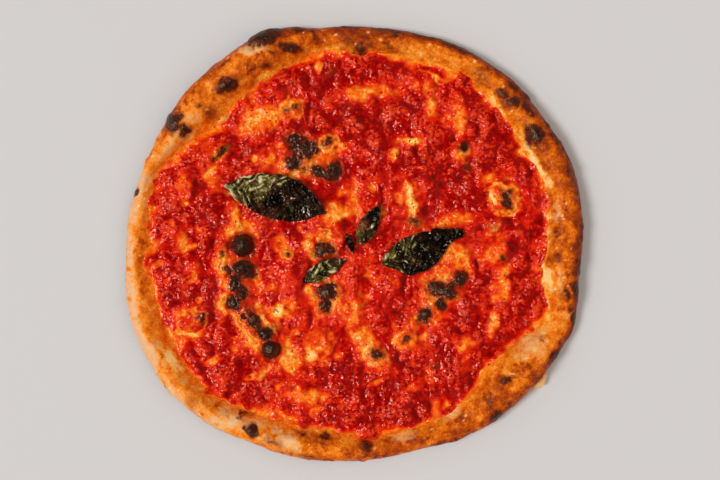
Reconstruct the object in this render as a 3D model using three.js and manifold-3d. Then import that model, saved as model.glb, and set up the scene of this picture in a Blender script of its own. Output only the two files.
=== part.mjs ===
// A marinara pizza: a flat bread with a puffed, uneven rim, a layer of tomato sauce that the
// bread's blisters push through, and five wilted basil leaves lying on the sauce.
// Millimetres, +Z up. The origin is under the middle of the pizza, on the surface it lies on.
import * as THREE from "three";
import { mergeVertices } from "three/addons/utils/BufferGeometryUtils.js";
import Module from "manifold-3d";

// Bread, in millimetres.
const FLOOR_HEIGHT = 4; // top of the bread under the sauce
const RIM_HEIGHT_BASE = 5.5; // a rim of no width would stand this high
const RIM_HEIGHT_PER_WIDTH = 0.43; // a wide rim has puffed higher
const RIM_HEIGHT_SWELL = 0.07; // share by which the rim's height swells and sinks on its way round
const CROWN_SHARE = 0.48; // how far across the rim its crown stands, from the sauce's edge
const FOOT_UNDER_SAUCE = 3; // the rim starts to rise this far inside the sauce's edge
const SIDE_SHARE = 0.42; // height of the rim's outermost point, as a share of the crown's
const UNDERCUT = 7; // the rim curls in this far under its edge, to the flat base
const INNER_EASE = 1.4; // above 1, the rim's inner slope leaves the floor in a soft curve
const LUMP = 1.1; // how far the rim's lumps stand out and sink in
const LUMP_WAVES = [[6, 1, 2], [11, 2, 0], [17, -3, 1]]; // waves round the pizza, round the rim, phase
const ROOT_DEPTH = 2; // a blister is rooted this deep in the bread
const SEGMENTS = 96; // steps round the bread

// Sauce and leaves, in millimetres.
const SAUCE_DEPTH = 2.2;
const SAUCE_RELIEF = 0.55; // how far its surface rises and falls
const SAUCE_SWELLS = [[0.19, 0.07, 0], [-0.11, 0.16, 2], [0.23, -0.2, 4]]; // radians a mm in x and y, phase
const SAUCE_OVERLAP = 5; // the uncut layer reaches this far past the sauce's edge, into the rim
const SAUCE_UNDERSIDE = 2; // and its uncut underside lies at this height, inside the bread
const SAUCE_SEGMENTS = 72; // steps round the sauce
const CLEARANCE = 0.3; // gap between pieces that touch
const LEAF_THICKNESS = 0.7;
const LEAF_GAP = 0.6; // a leaf's lowest points over the sauce
const LEAF_STEP = 4; // size of a leaf's facets
const LEAF_POINT = 0.06; // width left at a leaf's ends, as a share of the full one
const EDGE_CURL = 0.6; // share of a leaf's curl that its edges take
const MIDRIB_CURL = 0.25; // and share of it by which the whole leaf stands clear
const RIPPLE_CURL = 0.25; // and share of it by which the leaf ripples along its length

// Radius of the pizza's edge and of the sauce's edge, every ten degrees from +X towards +Y.
const EDGE_RADII = [
  159, 161, 163, 160.5, 159.5, 159, 158, 154.5, 153.5, 153.5, 154.5, 159.5,
  160.5, 158.5, 159, 157, 157, 158, 159.5, 162.5, 165, 165, 165, 161,
  156, 154.5, 152.5, 151, 150, 151, 154, 157.5, 159, 161.5, 163, 159.5,
];
const SAUCE_RADII = [
  133, 137, 140, 138, 136.5, 140, 139.5, 138, 135, 134, 139.5, 133,
  129.5, 131, 132.5, 138, 148, 145, 146, 146, 147, 148, 148, 143.5,
  139.5, 133.5, 132.5, 134.5, 136.5, 133, 133.5, 132.5, 126, 134, 144, 132,
];

// Blisters that push through the sauce: x, y, half-length, half-width, turn in degrees, rise.
const SAUCE_BLISTERS = [
  // The burnt chain on the west side, with the two ridges that carry it.
  [-77.5, 0, 7.5, 7.5, 0, 8],
  [-81, -17, 9.5, 7, 0, 6],
  [-83, -39, 6, 6, 0, 6],
  [-63, -61, 6.5, 6, 0, 6],
  [-58, -72, 7, 7, 0, 7.5],
  [-81, -27, 21, 8, 95, 4],
  [-67, -59, 22, 8.5, -53, 4],
  // Burnt blisters north of the middle, and the ringed ones near them.
  [-35, 68, 10, 10, 30, 5.5],
  [-19, 52, 10, 5.5, 0, 5.5],
  [-16, 73.5, 8, 8, 0, 4.5],
  [-45.5, 96, 9, 9, 0, 4.5],
  [-92, 65, 11, 8, 40, 4],
  [-64, 88, 15, 9, 15, 3.5],
  [6, 106, 22, 6.5, 8, 3.8],
  [40, 73, 9, 5, 0, 3.8],
  [39, 31, 17, 5, -77, 4],
  // East side.
  [78, 68, 7, 9.5, 0, 4.8],
  [73, 92, 16, 6.5, 95, 3.6],
  [104, 33.5, 13, 12, 0, 5],
  [100, 13, 7, 5, 30, 4],
  [71, -6, 11, 9, 30, 4],
  [62, -30, 9, 9, 0, 5.5],
  [74, -23, 7, 5, 10, 5.5],
  [50, -49, 5, 7.5, -10, 5],
  [105, -27, 14, 6.5, 90, 3.8],
  [98, -54.5, 12, 5.5, 70, 4.2],
  [37, -66, 8, 7, 0, 3.8],
  [12, -77, 19, 7, -55, 4],
  // South-west side and the middle.
  [-20, -36, 8, 13, 15, 4.8],
  [-20.5, -5.5, 6.5, 6, 0, 4.8],
  [-114, -55, 12, 11.5, 0, 4.6],
  [-22, -68, 11, 11, 0, 4.6],
  [-43, -80, 10, 9, 0, 3.6],
  [-36, -104, 13, 9, -20, 3.6],
];

// Blisters on the rim: x, y, height of the middle, half-length, half-width, turn, half-height.
const RIM_BLISTERS = [
  [-64, 142, 9, 13, 7, 25, 6.5],
  [-87, 110, 12, 10, 7, 25, 5],
  [-123, 84, 9, 8, 7, -50, 6],
  [5, 135, 9, 8, 7, 0, 5],
  [126, 76, 12, 7, 9, 15, 4.5],
  [139, -11, 11, 6, 15, 5, 4.5],
  [120, -77, 12, 17, 13, 40, 4.5],
  [101, -94, 11, 11, 9, 30, 4.5],
  [-72, -129, 11, 7, 7, 0, 4.5],
  [-45, -137, 10, 14, 8, -12, 4.5],
  [8, -138, 9, 9, 7, -5, 4.5],
];

// A torn scrap of bread that sticks out under the rim, in the same columns.
const SCRAP = [
  [130.5, -95, 4.2, 6, 4, 50, 2.8],
  [127.5, -97.5, 3.4, 3.5, 3, 20, 2.4],
];

// Basil leaves: name, x, y, length, width, turn in degrees, where along it is widest, curl of its sides
// and how far its middle bends sideways.
const LEAVES = [
  ["basil_leaf_west", -55, 32, 74, 32, -15, 0.56, 3.2, 2.6],
  ["basil_leaf_east", 48, -2, 61, 25.5, 21, 0.4, 3, -2.4],
  ["basil_leaf_north", 11, 14, 33, 13, 62, 0.42, 1.6, 1],
  ["basil_leaf_south", -20.5, -18, 34, 12.5, 28, 0.45, 1.6, 1.5],
  ["basil_leaf_tiny", -3, 1.5, 15, 5.5, -70, 0.5, 0.8, 0.5],
];

const wasm = await Module();
wasm.setup();

const radians = THREE.MathUtils.degToRad;
const smoothstep = THREE.MathUtils.smoothstep;

// A value from a table that runs round the pizza in equal steps, on a smooth closed curve.
function around(table, angle) {
  const place = (angle / (2 * Math.PI)) * table.length;
  const step = Math.floor(place);
  const share = place - step;
  const [a, b, c, d] = [-1, 0, 1, 2].map((k) => table[(step + k + table.length) % table.length]);
  const bend = 2 * a - 5 * b + 4 * c - d;
  const twist = 3 * (b - c) + d - a;
  return b + 0.5 * share * (c - a + share * (bend + share * twist));
}

// One closed solid from a geometry, with the vertices that its faces share merged.
function solidFrom(geometry) {
  const bare = geometry.clone();
  bare.deleteAttribute("normal");
  bare.deleteAttribute("uv");
  const merged = mergeVertices(bare, 1e-4);
  return new wasm.Manifold(
    new wasm.Mesh({
      numProp: 3,
      vertProperties: merged.getAttribute("position").array,
      triVerts: new Uint32Array(merged.index.array),
    }),
  );
}

// The geometry of a solid, with flat facets.
function geometryFrom(solid) {
  const mesh = solid.getMesh();
  const geometry = new THREE.BufferGeometry();
  geometry.setAttribute("position", new THREE.BufferAttribute(new Float32Array(mesh.vertProperties), 3));
  geometry.setIndex(new THREE.BufferAttribute(new Uint32Array(mesh.triVerts), 1));
  geometry.computeVertexNormals();
  return geometry;
}

// A lathe's closed mesh with every vertex moved to place(angle, station).
// The first and last stations are on the axis.
function reshapedLathe(stations, segments, place) {
  const onAxis = (i) => i === 0 || i === stations - 1;
  const profile = Array.from({ length: stations }, (_, i) => new THREE.Vector2(onAxis(i) ? 0 : 1, i));
  const lathe = new THREE.LatheGeometry(profile, segments);
  const position = lathe.getAttribute("position");
  for (let n = 0; n < position.count; n++) {
    const station = n % stations;
    const angle = (2 * Math.PI * (Math.floor(n / stations) % segments)) / segments;
    const { radius, height } = place(angle, station);
    position.setXYZ(n, radius * Math.cos(angle), radius * Math.sin(angle), height);
  }
  return lathe;
}

// Where the rim stands at an angle: its edge, its crown, the foot under the sauce and its height.
function rimAt(angle) {
  const edge = around(EDGE_RADII, angle);
  const inner = around(SAUCE_RADII, angle);
  const swell = 1 + RIM_HEIGHT_SWELL * (Math.sin(3 * angle + 1) + 0.6 * Math.sin(7 * angle));
  return {
    edge,
    crown: inner + CROWN_SHARE * (edge - inner),
    foot: inner - FOOT_UNDER_SAUCE,
    height: (RIM_HEIGHT_BASE + RIM_HEIGHT_PER_WIDTH * (edge - inner)) * swell,
  };
}

// The bread's outline runs from the middle of its base, out under the rim, over its crown and back.
const BASE_SHARES = [0, 0.6]; // rings of the flat base, as shares of its radius
const RIM_ANGLES = [-90, -60, -32, -5, 22, 45, 68, 90, 112, 135, 158, 180].map(radians);
const FLOOR_SHARES = [0.5, 0]; // rings of the floor under the sauce, as shares of the rim's foot
const BREAD_STATIONS = BASE_SHARES.length + RIM_ANGLES.length + FLOOR_SHARES.length;

// How far a lump pushes the rim out at a turn round the pizza and a turn round the rim's own section.
function rimLump(angle, a) {
  const fade = Math.sin((2 / 3) * (a + Math.PI / 2));
  const waves = LUMP_WAVES.map(([round, over, phase]) => Math.sin(round * angle + over * a + phase));
  return (LUMP * fade * waves.reduce((sum, wave) => sum + wave)) / LUMP_WAVES.length;
}

function breadOutline(angle, station) {
  const { edge, crown, foot, height } = rimAt(angle);
  if (station < BASE_SHARES.length) {
    return { radius: BASE_SHARES[station] * (edge - UNDERCUT), height: 0 };
  }
  const onRim = station - BASE_SHARES.length;
  if (onRim >= RIM_ANGLES.length) {
    return { radius: FLOOR_SHARES[onRim - RIM_ANGLES.length] * foot, height: FLOOR_HEIGHT };
  }
  const a = RIM_ANGLES[onRim];
  const lump = rimLump(angle, a);
  const side = SIDE_SHARE * height;
  if (a < 0) {
    const tucked = edge - UNDERCUT * (1 - Math.cos(a));
    return { radius: tucked + lump * Math.cos(a), height: side * (1 + Math.sin(a)) };
  }
  if (a <= Math.PI / 2) {
    return {
      radius: crown + (edge - crown + lump) * Math.cos(a),
      height: side + (height - side + lump) * Math.sin(a),
    };
  }
  const climb = 2 - a / (Math.PI / 2);
  const eased = Math.max(0, Math.sin((Math.PI / 2) * climb)) ** INNER_EASE;
  return {
    radius: foot + (crown - foot) * climb,
    height: FLOOR_HEIGHT + (height - FLOOR_HEIGHT + lump) * eased,
  };
}

// A blister: the upper half of an ellipsoid over a shallow root, so that it never reaches under the bread.
function blister(x, y, height, halfLength, halfWidth, turn, rise, swell = 0) {
  const ball = new THREE.SphereGeometry(1, 10, 6).rotateX(Math.PI / 2);
  const position = ball.getAttribute("position");
  for (let n = 0; n < position.count; n++) {
    const z = position.getZ(n);
    position.setZ(n, z * (z > 0 ? rise + swell : ROOT_DEPTH));
  }
  ball.scale(halfLength + swell, halfWidth + swell, 1).rotateZ(radians(turn)).translate(x, y, height);
  return solidFrom(ball);
}

// All of the bread's blisters, swollen by a clearance where they are to cut the sauce.
function blisters(swell = 0) {
  return [
    ...SAUCE_BLISTERS.map(([x, y, ...shape]) => blister(x, y, FLOOR_HEIGHT, ...shape, swell)),
    ...RIM_BLISTERS.map(([x, y, height, ...shape]) => blister(x, y, height, ...shape, swell)),
  ];
}

// The sauce's free surface over the bread: long low swells in three directions.
function sauceRelief(x, y) {
  const waves = SAUCE_SWELLS.map(([alongX, alongY, phase]) => Math.sin(alongX * x + alongY * y + phase));
  return (SAUCE_RELIEF * waves.reduce((sum, wave) => sum + wave)) / SAUCE_SWELLS.length;
}

// The sauce's outline at an angle: flat underside, edge, then rings over its uneven surface.
const SAUCE_SHARES = [0, 1, 1, 0.92, 0.82, 0.71, 0.6, 0.48, 0.36, 0.2, 0];
const SAUCE_EDGE_STATION = 2;

function sauceOutline(angle, station) {
  const radius = SAUCE_SHARES[station] * (around(SAUCE_RADII, angle) + SAUCE_OVERLAP);
  const relief = sauceRelief(radius * Math.cos(angle), radius * Math.sin(angle));
  const onTop = station >= SAUCE_EDGE_STATION;
  return { radius, height: onTop ? FLOOR_HEIGHT + SAUCE_DEPTH + relief : SAUCE_UNDERSIDE };
}

// The height that a leaf has to clear at a place: the sauce, or a blister through it.
function groundAt(x, y) {
  const sauce = FLOOR_HEIGHT + SAUCE_DEPTH + sauceRelief(x, y);
  const domes = SAUCE_BLISTERS.map(([bx, by, halfLength, halfWidth, turn, rise]) => {
    const a = radians(turn);
    const along = ((x - bx) * Math.cos(a) + (y - by) * Math.sin(a)) / (halfLength + 1);
    const across = ((y - by) * Math.cos(a) - (x - bx) * Math.sin(a)) / (halfWidth + 1);
    return FLOOR_HEIGHT + rise * Math.sqrt(Math.max(0, 1 - along * along - across * across));
  });
  return Math.max(sauce, ...domes);
}

// Half the width of a leaf at a share of its length: pointed at both ends, widest at its own place.
function leafHalfWidth(share, width, widest) {
  const belly = share < widest ? share / widest : (1 - share) / (1 - widest);
  return 0.5 * width * Math.max(LEAF_POINT, Math.sin((Math.PI / 2) * belly) ** 0.85);
}

// A thin wavy sheet: two faces split alike, a thickness apart, closed by a wall along the edge.
function basilLeaf(x, y, length, width, turn, widest, curl, bend) {
  const columns = Math.max(5, Math.round(length / LEAF_STEP));
  const rows = Math.max(2, 2 * Math.round(width / LEAF_STEP / 2));
  const spin = new THREE.Vector2(Math.cos(radians(turn)), Math.sin(radians(turn)));
  const top = [];
  for (let i = 0; i <= columns; i++) {
    for (let j = 0; j <= rows; j++) {
      const share = i / columns;
      const side = (2 * j) / rows - 1;
      const along = (share - 0.5) * length;
      const across = side * leafHalfWidth(share, width, widest) + bend * Math.sin(Math.PI * share);
      const px = x + along * spin.x - across * spin.y;
      const py = y + along * spin.y + across * spin.x;
      const ripple = RIPPLE_CURL * Math.sin(5 * Math.PI * share + 2 * side);
      const edgeLift = EDGE_CURL * side * side * smoothstep(Math.sin(Math.PI * share), 0, 1);
      const rise = Math.max(0, curl * (edgeLift + MIDRIB_CURL + ripple));
      top.push(new THREE.Vector3(px, py, groundAt(px, py) + LEAF_GAP + LEAF_THICKNESS + rise));
    }
  }
  const under = top.map((p) => new THREE.Vector3(p.x, p.y, p.z - LEAF_THICKNESS));
  const index = [];
  const quad = (a, b, c, d) => index.push(a, b, c, a, c, d);
  const at = (i, j) => i * (rows + 1) + j;
  for (let i = 0; i < columns; i++) {
    for (let j = 0; j < rows; j++) {
      const corners = [at(i, j), at(i + 1, j), at(i + 1, j + 1), at(i, j + 1)];
      quad(...corners);
      const [a, b, c, d] = corners.map((n) => n + top.length);
      index.push(a, c, b, a, d, c);
    }
  }
  const rim = [
    ...Array.from({ length: columns }, (_, i) => at(i, 0)),
    ...Array.from({ length: rows }, (_, j) => at(columns, j)),
    ...Array.from({ length: columns }, (_, i) => at(columns - i, rows)),
    ...Array.from({ length: rows }, (_, j) => at(0, rows - j)),
  ];
  rim.forEach((a, k) => {
    const b = rim[(k + 1) % rim.length];
    quad(a + top.length, b + top.length, b, a);
  });
  const geometry = new THREE.BufferGeometry().setFromPoints([...top, ...under]);
  geometry.setIndex(index);
  geometry.computeVertexNormals();
  return geometry;
}

// The parts of a solid that hang together with the largest of them; loose scraps are dropped.
function largestBody(solid) {
  return solid.decompose().reduce((a, b) => (b.volume() > a.volume() ? b : a));
}

const breadColour = new THREE.MeshStandardMaterial({ color: 0xcf7a2c, roughness: 0.75, metalness: 0 });
const sauceColour = new THREE.MeshStandardMaterial({ color: 0xb41f10, roughness: 0.35, metalness: 0 });
const leafColour = new THREE.MeshStandardMaterial({ color: 0x2a2a12, roughness: 0.4, metalness: 0 });

const pizza = new THREE.Group();

function addMesh(name, geometry, material) {
  const mesh = new THREE.Mesh(geometry, material);
  mesh.name = name;
  pizza.add(mesh);
}

const flatBread = solidFrom(reshapedLathe(BREAD_STATIONS, SEGMENTS, breadOutline));
const scrap = SCRAP.map(([x, y, height, ...shape]) => blister(x, y, height, ...shape));
const bread = [...blisters(), ...scrap].reduce((whole, piece) => whole.add(piece), flatBread);
addMesh("crust", geometryFrom(bread), breadColour);

const cutters = blisters(CLEARANCE);
const uncutSauce = solidFrom(reshapedLathe(SAUCE_SHARES.length, SAUCE_SEGMENTS, sauceOutline));
const overBread = uncutSauce.subtract(flatBread.translate(0, 0, CLEARANCE));
const fitted = cutters.reduce((left, cutter) => left.subtract(cutter), overBread);
addMesh("sauce", geometryFrom(largestBody(fitted)), sauceColour);

for (const [name, ...shape] of LEAVES) {
  addMesh(name, basilLeaf(...shape), leafColour);
}

// The radii are read from a point near the middle, so the whole is moved to centre it on the origin.
const middle = new THREE.Box3().setFromObject(pizza).getCenter(new THREE.Vector3());
pizza.children.forEach((mesh) => mesh.geometry.translate(-middle.x, -middle.y, 0));

export default pizza;
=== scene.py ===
"""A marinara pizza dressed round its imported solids: bread, sauce, dried herbs and five basil leaves."""

import bpy
import numpy as np
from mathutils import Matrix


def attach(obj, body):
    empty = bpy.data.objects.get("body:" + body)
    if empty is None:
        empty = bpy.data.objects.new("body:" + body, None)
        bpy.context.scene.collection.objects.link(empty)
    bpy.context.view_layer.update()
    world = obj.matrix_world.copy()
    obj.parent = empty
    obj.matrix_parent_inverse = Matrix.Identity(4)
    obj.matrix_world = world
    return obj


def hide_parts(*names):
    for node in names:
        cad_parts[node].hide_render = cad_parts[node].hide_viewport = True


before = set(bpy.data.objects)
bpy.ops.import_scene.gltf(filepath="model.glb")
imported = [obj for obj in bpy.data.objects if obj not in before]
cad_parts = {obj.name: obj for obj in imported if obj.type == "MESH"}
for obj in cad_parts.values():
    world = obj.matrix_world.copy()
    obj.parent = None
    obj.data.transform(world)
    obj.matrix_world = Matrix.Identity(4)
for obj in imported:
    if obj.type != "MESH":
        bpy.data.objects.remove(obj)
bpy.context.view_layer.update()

# The bread: one round of wheat dough, stretched by hand and baked fast on a hot stone. Its rim has
# puffed into an uneven tube, and its blisters push up through the sauce, the highest of them burnt.
# All shapes are worked out in millimetres from the point that the radii are read from.
FLOOR_HEIGHT = 4.0  # top of the bread under the sauce
RIM_HEIGHT_BASE = 5.5  # a rim of no width would stand this high
RIM_HEIGHT_PER_WIDTH = 0.43  # a wide rim has puffed higher
RIM_HEIGHT_WAVES = ((0.07, 3, 1), (0.042, 7, 0))  # share of the height, waves round the pizza, phase
CROWN_SHARE = 0.48  # how far across the rim its crown stands
FOOT_UNDER_SAUCE = 3.0  # the rim starts to rise this far inside the sauce's edge
SIDE_SHARE = 0.42  # height of the outermost point, as a share of the crown's
UNDERCUT = 7.0  # the rim curls in this far under its edge
INNER_EASE = 1.4  # above 1, the inner slope leaves the floor in a soft curve
LUMP = 1.1  # how far the rim's lumps stand out and sink in
LUMP_WAVES = ((6, 1, 2), (11, 2, 0), (17, -3, 1))  # waves round the pizza, round the rim, phase
BREAD_STEPS = 152  # grid steps from the middle to the edge of the base
FLOOR_PART = 0.66  # share of those steps that the floor takes
RIM_PARTS = (0.42, 0.78)  # shares of the rim's steps at which its crown and its side come

# Radius of the bread's edge and of the sauce's edge, every ten degrees from +X towards +Y.
EDGE_RADII = np.array([
    159, 161, 163, 160.5, 159.5, 159, 158, 154.5, 153.5, 153.5, 154.5, 159.5,
    160.5, 158.5, 159, 157, 157, 158, 159.5, 162.5, 165, 165, 165, 161,
    156, 154.5, 152.5, 151, 150, 151, 154, 157.5, 159, 161.5, 163, 159.5])
SAUCE_RADII = np.array([
    133, 137, 140, 138, 136.5, 140, 139.5, 138, 135, 134, 139.5, 133,
    129.5, 131, 132.5, 138, 148, 145, 146, 146, 147, 148, 148, 143.5,
    139.5, 133.5, 132.5, 134.5, 136.5, 133, 133.5, 132.5, 126, 134, 144, 132])
# How brown the rim's top and its outer side are, every thirty degrees from +X towards +Y. Partly painted
# light and shade: the top is paler in the west, where its inner slope faces away from the key light, and
# the outer side is browner in the east, away from the key light.
TOP_BAKE_AND_LIGHT = np.array([0.41, 0.5, 0.28, 0.6, 0.43, 0.12, 0.34, 0.22, 0.07, 0.53, 0.52, 0.33])
SIDE_BAKE_AND_SHADE = np.array([0.88, 0.8, 0.86, 0.8, 0.64, 0.24, -0.06, 0.02, 0.22, 0.48, 0.6, 0.72])
# How clearly bare, pale dough shows along the sauce's edge, at the same angles.
LIP = np.array([0.75, 0.8, 0.6, 0.3, 0.2, 0.1, 0.05, 0.3, 0.4, 0.35, 0.5, 0.7])

# Blisters and ridges under the sauce: x, y, half-length, half-width, turn in degrees, rise, how thin
# the sauce is on them (1 is bare) and how burnt they are.
BLISTERS = (
    # The burnt chain in the west, on two ridges of bare dough.
    (-77.8, 0, 6.6, 6.6, 0, 3, 1, 1),
    (-77.8, -17.4, 7.6, 7, 0, 5.5, 1, 1),
    (-92.5, -6.5, 2.4, 3, 0, 3, 0.9, 0.6),
    (-87.3, -18.5, 4.2, 4.6, 0, 3.4, 0.95, 0.75),
    (-82.3, -27.5, 5, 5.6, 0, 3.6, 1, 0.9),
    (-77.6, -34, 4.2, 5.4, 10, 3.4, 1, 0.8),
    (-83, -40.7, 5, 5.2, 0, 4.8, 1, 1),
    (-78, -50, 2.6, 2.6, 0, 3.4, 0.95, 0.75),
    (-70.8, -52, 5.4, 5, 0, 3.2, 0.95, 0.6),
    (-62.4, -60.8, 6, 5.2, 20, 4.6, 1, 1),
    (-58.3, -72.4, 5.8, 5.8, 0, 2.8, 1, 1),
    (-67, -54, 13, 3.4, -53, 3.4, 0.95, 0.78),
    (-85, 9.5, 9, 4.6, 35, 3, 0.85, 0),
    (-93, -13, 5.6, 17, 0, 3.6, 0.9, 0),
    (-92, -41, 5.8, 12, 0, 3.6, 0.9, 0),
    (-78, -59.5, 22, 3.4, -53.6, 3.6, 1, 0),
    (-61, -53, 15, 1.9, -46, 3.4, 0.9, 0),
    (-82, -26, 24, 11, 95, 3.2, 0.7, 0),
    (-68, -57, 22, 10, -53, 3.2, 0.6, 0),
    # North of the middle.
    (-36, 67, 8.4, 7.4, 20, 3.6, 1, 0.95),
    (-30, 69, 5.4, 5, 0, 3.6, 1, 0.9),
    (-41.5, 74, 6.4, 4, 0, 3, 1, 0.8),
    (-43, 58, 5, 4.6, 20, 3.4, 1, 0.9),
    (-37, 54, 7, 3.6, 0, 2.6, 0.9, 0.4),
    (-25, 53, 5.2, 5.2, 0, 3.6, 1, 0.85),
    (-18.5, 51, 5.4, 4.8, 0, 3.6, 1, 0.85),
    (-12.5, 53, 5.2, 5.8, 0, 4.2, 1, 0.95),
    (-33, 60, 20, 15, 20, 2.4, 0.68, 0),
    (-17.5, 73, 8, 7.6, 0, 4, 0.86, 0),
    (-17.5, 73.5, 4.6, 4.4, 0, 0.6, 0.9, 0.62),
    (-45.5, 96, 9.5, 9, 0, 4.5, 0.72, 0),
    (-47.5, 94.5, 3, 2.6, 0, 0.6, 0.8, 0.5),
    (-42, 97, 2.4, 2.2, 0, 0.5, 0.8, 0.5),
    (-93.5, 64.5, 7.4, 2.8, 37, 3.5, 0.95, 0.62),
    (-98.5, 60, 2.6, 2.8, 0, 3.2, 0.9, 0.55),
    (-95, 64, 11, 9, 40, 3, 0.6, 0),
    (-64, 87, 16, 11, 25, 3.2, 0.76, 0),
    (6, 106, 24, 7.5, 8, 3.6, 0.78, 0),
    (-24, 125, 2.6, 6.5, 0, 3.2, 0.85, 0),
    (-15.5, 122, 3, 3, 0, 2, 0.3, 0.35),
    (40, 73, 9.5, 4.4, -5, 3.8, 1, 0),
    (28, 64, 4, 5.5, 0, 3.2, 0.8, 0),
    (41, 31, 16, 4.2, -77, 4, 1, 0),
    (43, 16, 5, 5, 0, 4.2, 0.9, 0.6),
    # East side.
    (76.5, 68, 4, 4.2, 0, 4.8, 0.9, 0.9),
    (76, 64, 8.5, 10, 0, 3.6, 0.75, 0),
    (80, 53, 3, 2.6, 0, 2.6, 0.5, 0.6),
    (73, 93, 18, 7, 95, 3.6, 0.7, 0),
    (50, 112, 13, 9, -20, 2.8, 0.55, 0),
    (56, 118.5, 13, 2.4, -18, 2.6, 0.85, 0),
    (53, 98, 5, 7, 0, 2.6, 0.7, 0),
    (104, 33.5, 12.5, 12.5, 0, 5, 0.78, 0),
    (96.5, 34, 8, 2.8, -53, 4.4, 1, 0),
    (105.5, 35.5, 4, 4, 0, 1, 0.9, 0.7),
    (107, 29, 4.2, 4.2, 0, 1, 0.9, 0.75),
    (94, 46, 9, 6, 15, 2.8, 0.7, 0),
    (76, 19, 16, 4.5, 10, 2.8, 0.65, 0),
    (99, 13, 7, 5, 20, 3.8, 0.8, 0.3),
    (98, -6, 13, 11, 0, 3.2, 0.66, 0),
    (104.5, -10, 3, 2.4, 0, 2, 0.8, 0.55),
    (71, -6, 12, 11, 20, 3.4, 0.64, 0),
    (61, -30.5, 10, 6.4, -10, 3.4, 1, 0.8),
    (57, -28, 4.8, 3.8, 0, 3.6, 1, 0.85),
    (66, -33, 4.4, 4.4, 0, 3.8, 1, 0.85),
    (61, -41, 4, 4.4, 0, 3.8, 1, 0.9),
    (74, -23, 5.6, 5.8, 10, 4.6, 1, 1),
    (69, -26, 4, 3.4, 30, 3.4, 1, 0.7),
    (50, -49, 4.4, 6.4, -10, 4.2, 1, 0.9),
    (60, -35, 17, 13, 40, 2.6, 0.76, 0),
    (45, -53, 14, 7, 45, 2.4, 0.7, 0),
    (104, -28, 16, 8, 90, 3.6, 0.82, 0),
    (98, -54.5, 12, 4.6, 65, 4, 0.78, 0.1),
    (78, -69, 7, 7.5, 0, 3, 0.75, 0),
    (37, -66, 10, 8.5, 0, 3.6, 0.75, 0),
    (36, -66, 3, 2.8, 0, 1.4, 0.8, 0.6),
    (57, -84, 3, 2.6, 0, 2, 0.4, 0.5),
    (15.5, -76, 4.2, 4.2, 0, 4.2, 0.85, 0.65),
    (13, -74, 23, 9.5, -55, 3.6, 0.8, 0),
    # South-west side and the middle.
    (-19.5, -32, 5.6, 6, 0, 5.2, 1, 1),
    (-20, -43, 5, 5, 0, 4.2, 1, 0.85),
    (-19, -37, 11, 16, 10, 3.2, 0.68, 0),
    (-20.5, -4.5, 6.2, 6, 0, 4.8, 1, 0.8),
    (-21, 7, 6, 6, 0, 3.8, 0.72, 0),
    (-31, 0, 5, 11, 10, 3.2, 0.85, 0),
    (-46, -8, 5.5, 5, 0, 3.4, 0.88, 0),
    (-45.5, -8.5, 2.2, 2, 0, 0.3, 0.8, 0.55),
    (-13, 22, 14, 8, 10, 3, 0.75, 0),
    (-2, -46, 12, 14, 0, 2.6, 0.55, 0),
    (12, 24, 44, 30, 10, 0.6, 0.2, 0),
    (22, -40, 16, 12, 0, 2.6, 0.4, 0),
    (-52.5, -46, 7, 6.4, 0, 3.4, 0.92, 0),
    (-55, -44, 1.8, 1.5, 0, 0.3, 0.9, 0.4),
    (-114, -55, 13, 12, 0, 4.8, 0.55, 0),
    (-107, -52, 2.6, 4.6, 10, 1, 0.5, 0.6),
    (-113, -63, 9, 2.6, -4, 3.6, 1, 0),
    (-22, -68, 11.5, 11.5, 0, 4.8, 0.42, 0),
    (-30.5, -77, 4.4, 5, -20, 3.6, 1, 0),
    (-43, -80, 11, 9, 0, 3.2, 0.72, 0),
    (-36, -104, 13, 9, -20, 3.2, 0.66, 0),
    (-66, -92, 5, 5, 0, 2.8, 0.75, 0),
    (-97, -81, 6, 4, 0, 2.8, 0.7, 0),
    # Low swells on the west side.
    (-117, 41, 7, 11, 0, 2.8, 0.66, 0),
    (-100, 50, 8, 8, 0, 2.6, 0.6, 0),
    (-62, 60, 9, 6, 20, 2.6, 0.62, 0),
    (-120, 3, 4.6, 9, 0, 2.6, 0.62, 0),
    (-111, -17, 5, 12, 20, 2.6, 0.62, 0),
    (-83, 19, 4.5, 15, 10, 2.8, 0.72, 0),
)

# Blisters that sank in again, so that mostly a ring of them shows: x, y, half-length, half-width,
# turn and how thin the sauce is along the ring.
RINGS = (
    (-114, -55, 11.5, 10.5, 0, 0.8),
    (-22, -68, 10.5, 10, 0, 0.5),
    (-21, 7, 5.6, 5.6, 0, 0.9),
    (-17.5, 73, 7, 6.8, 0, 0.95),
    (-45.5, 96, 8.6, 7.6, 0, 0.85),
    (104, 32.5, 11, 11.5, 0, 0.85),
    (-46, -8, 5, 4.6, 0, 0.9),
    (36, -66, 7, 6.4, 0, 0.8),
)

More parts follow.
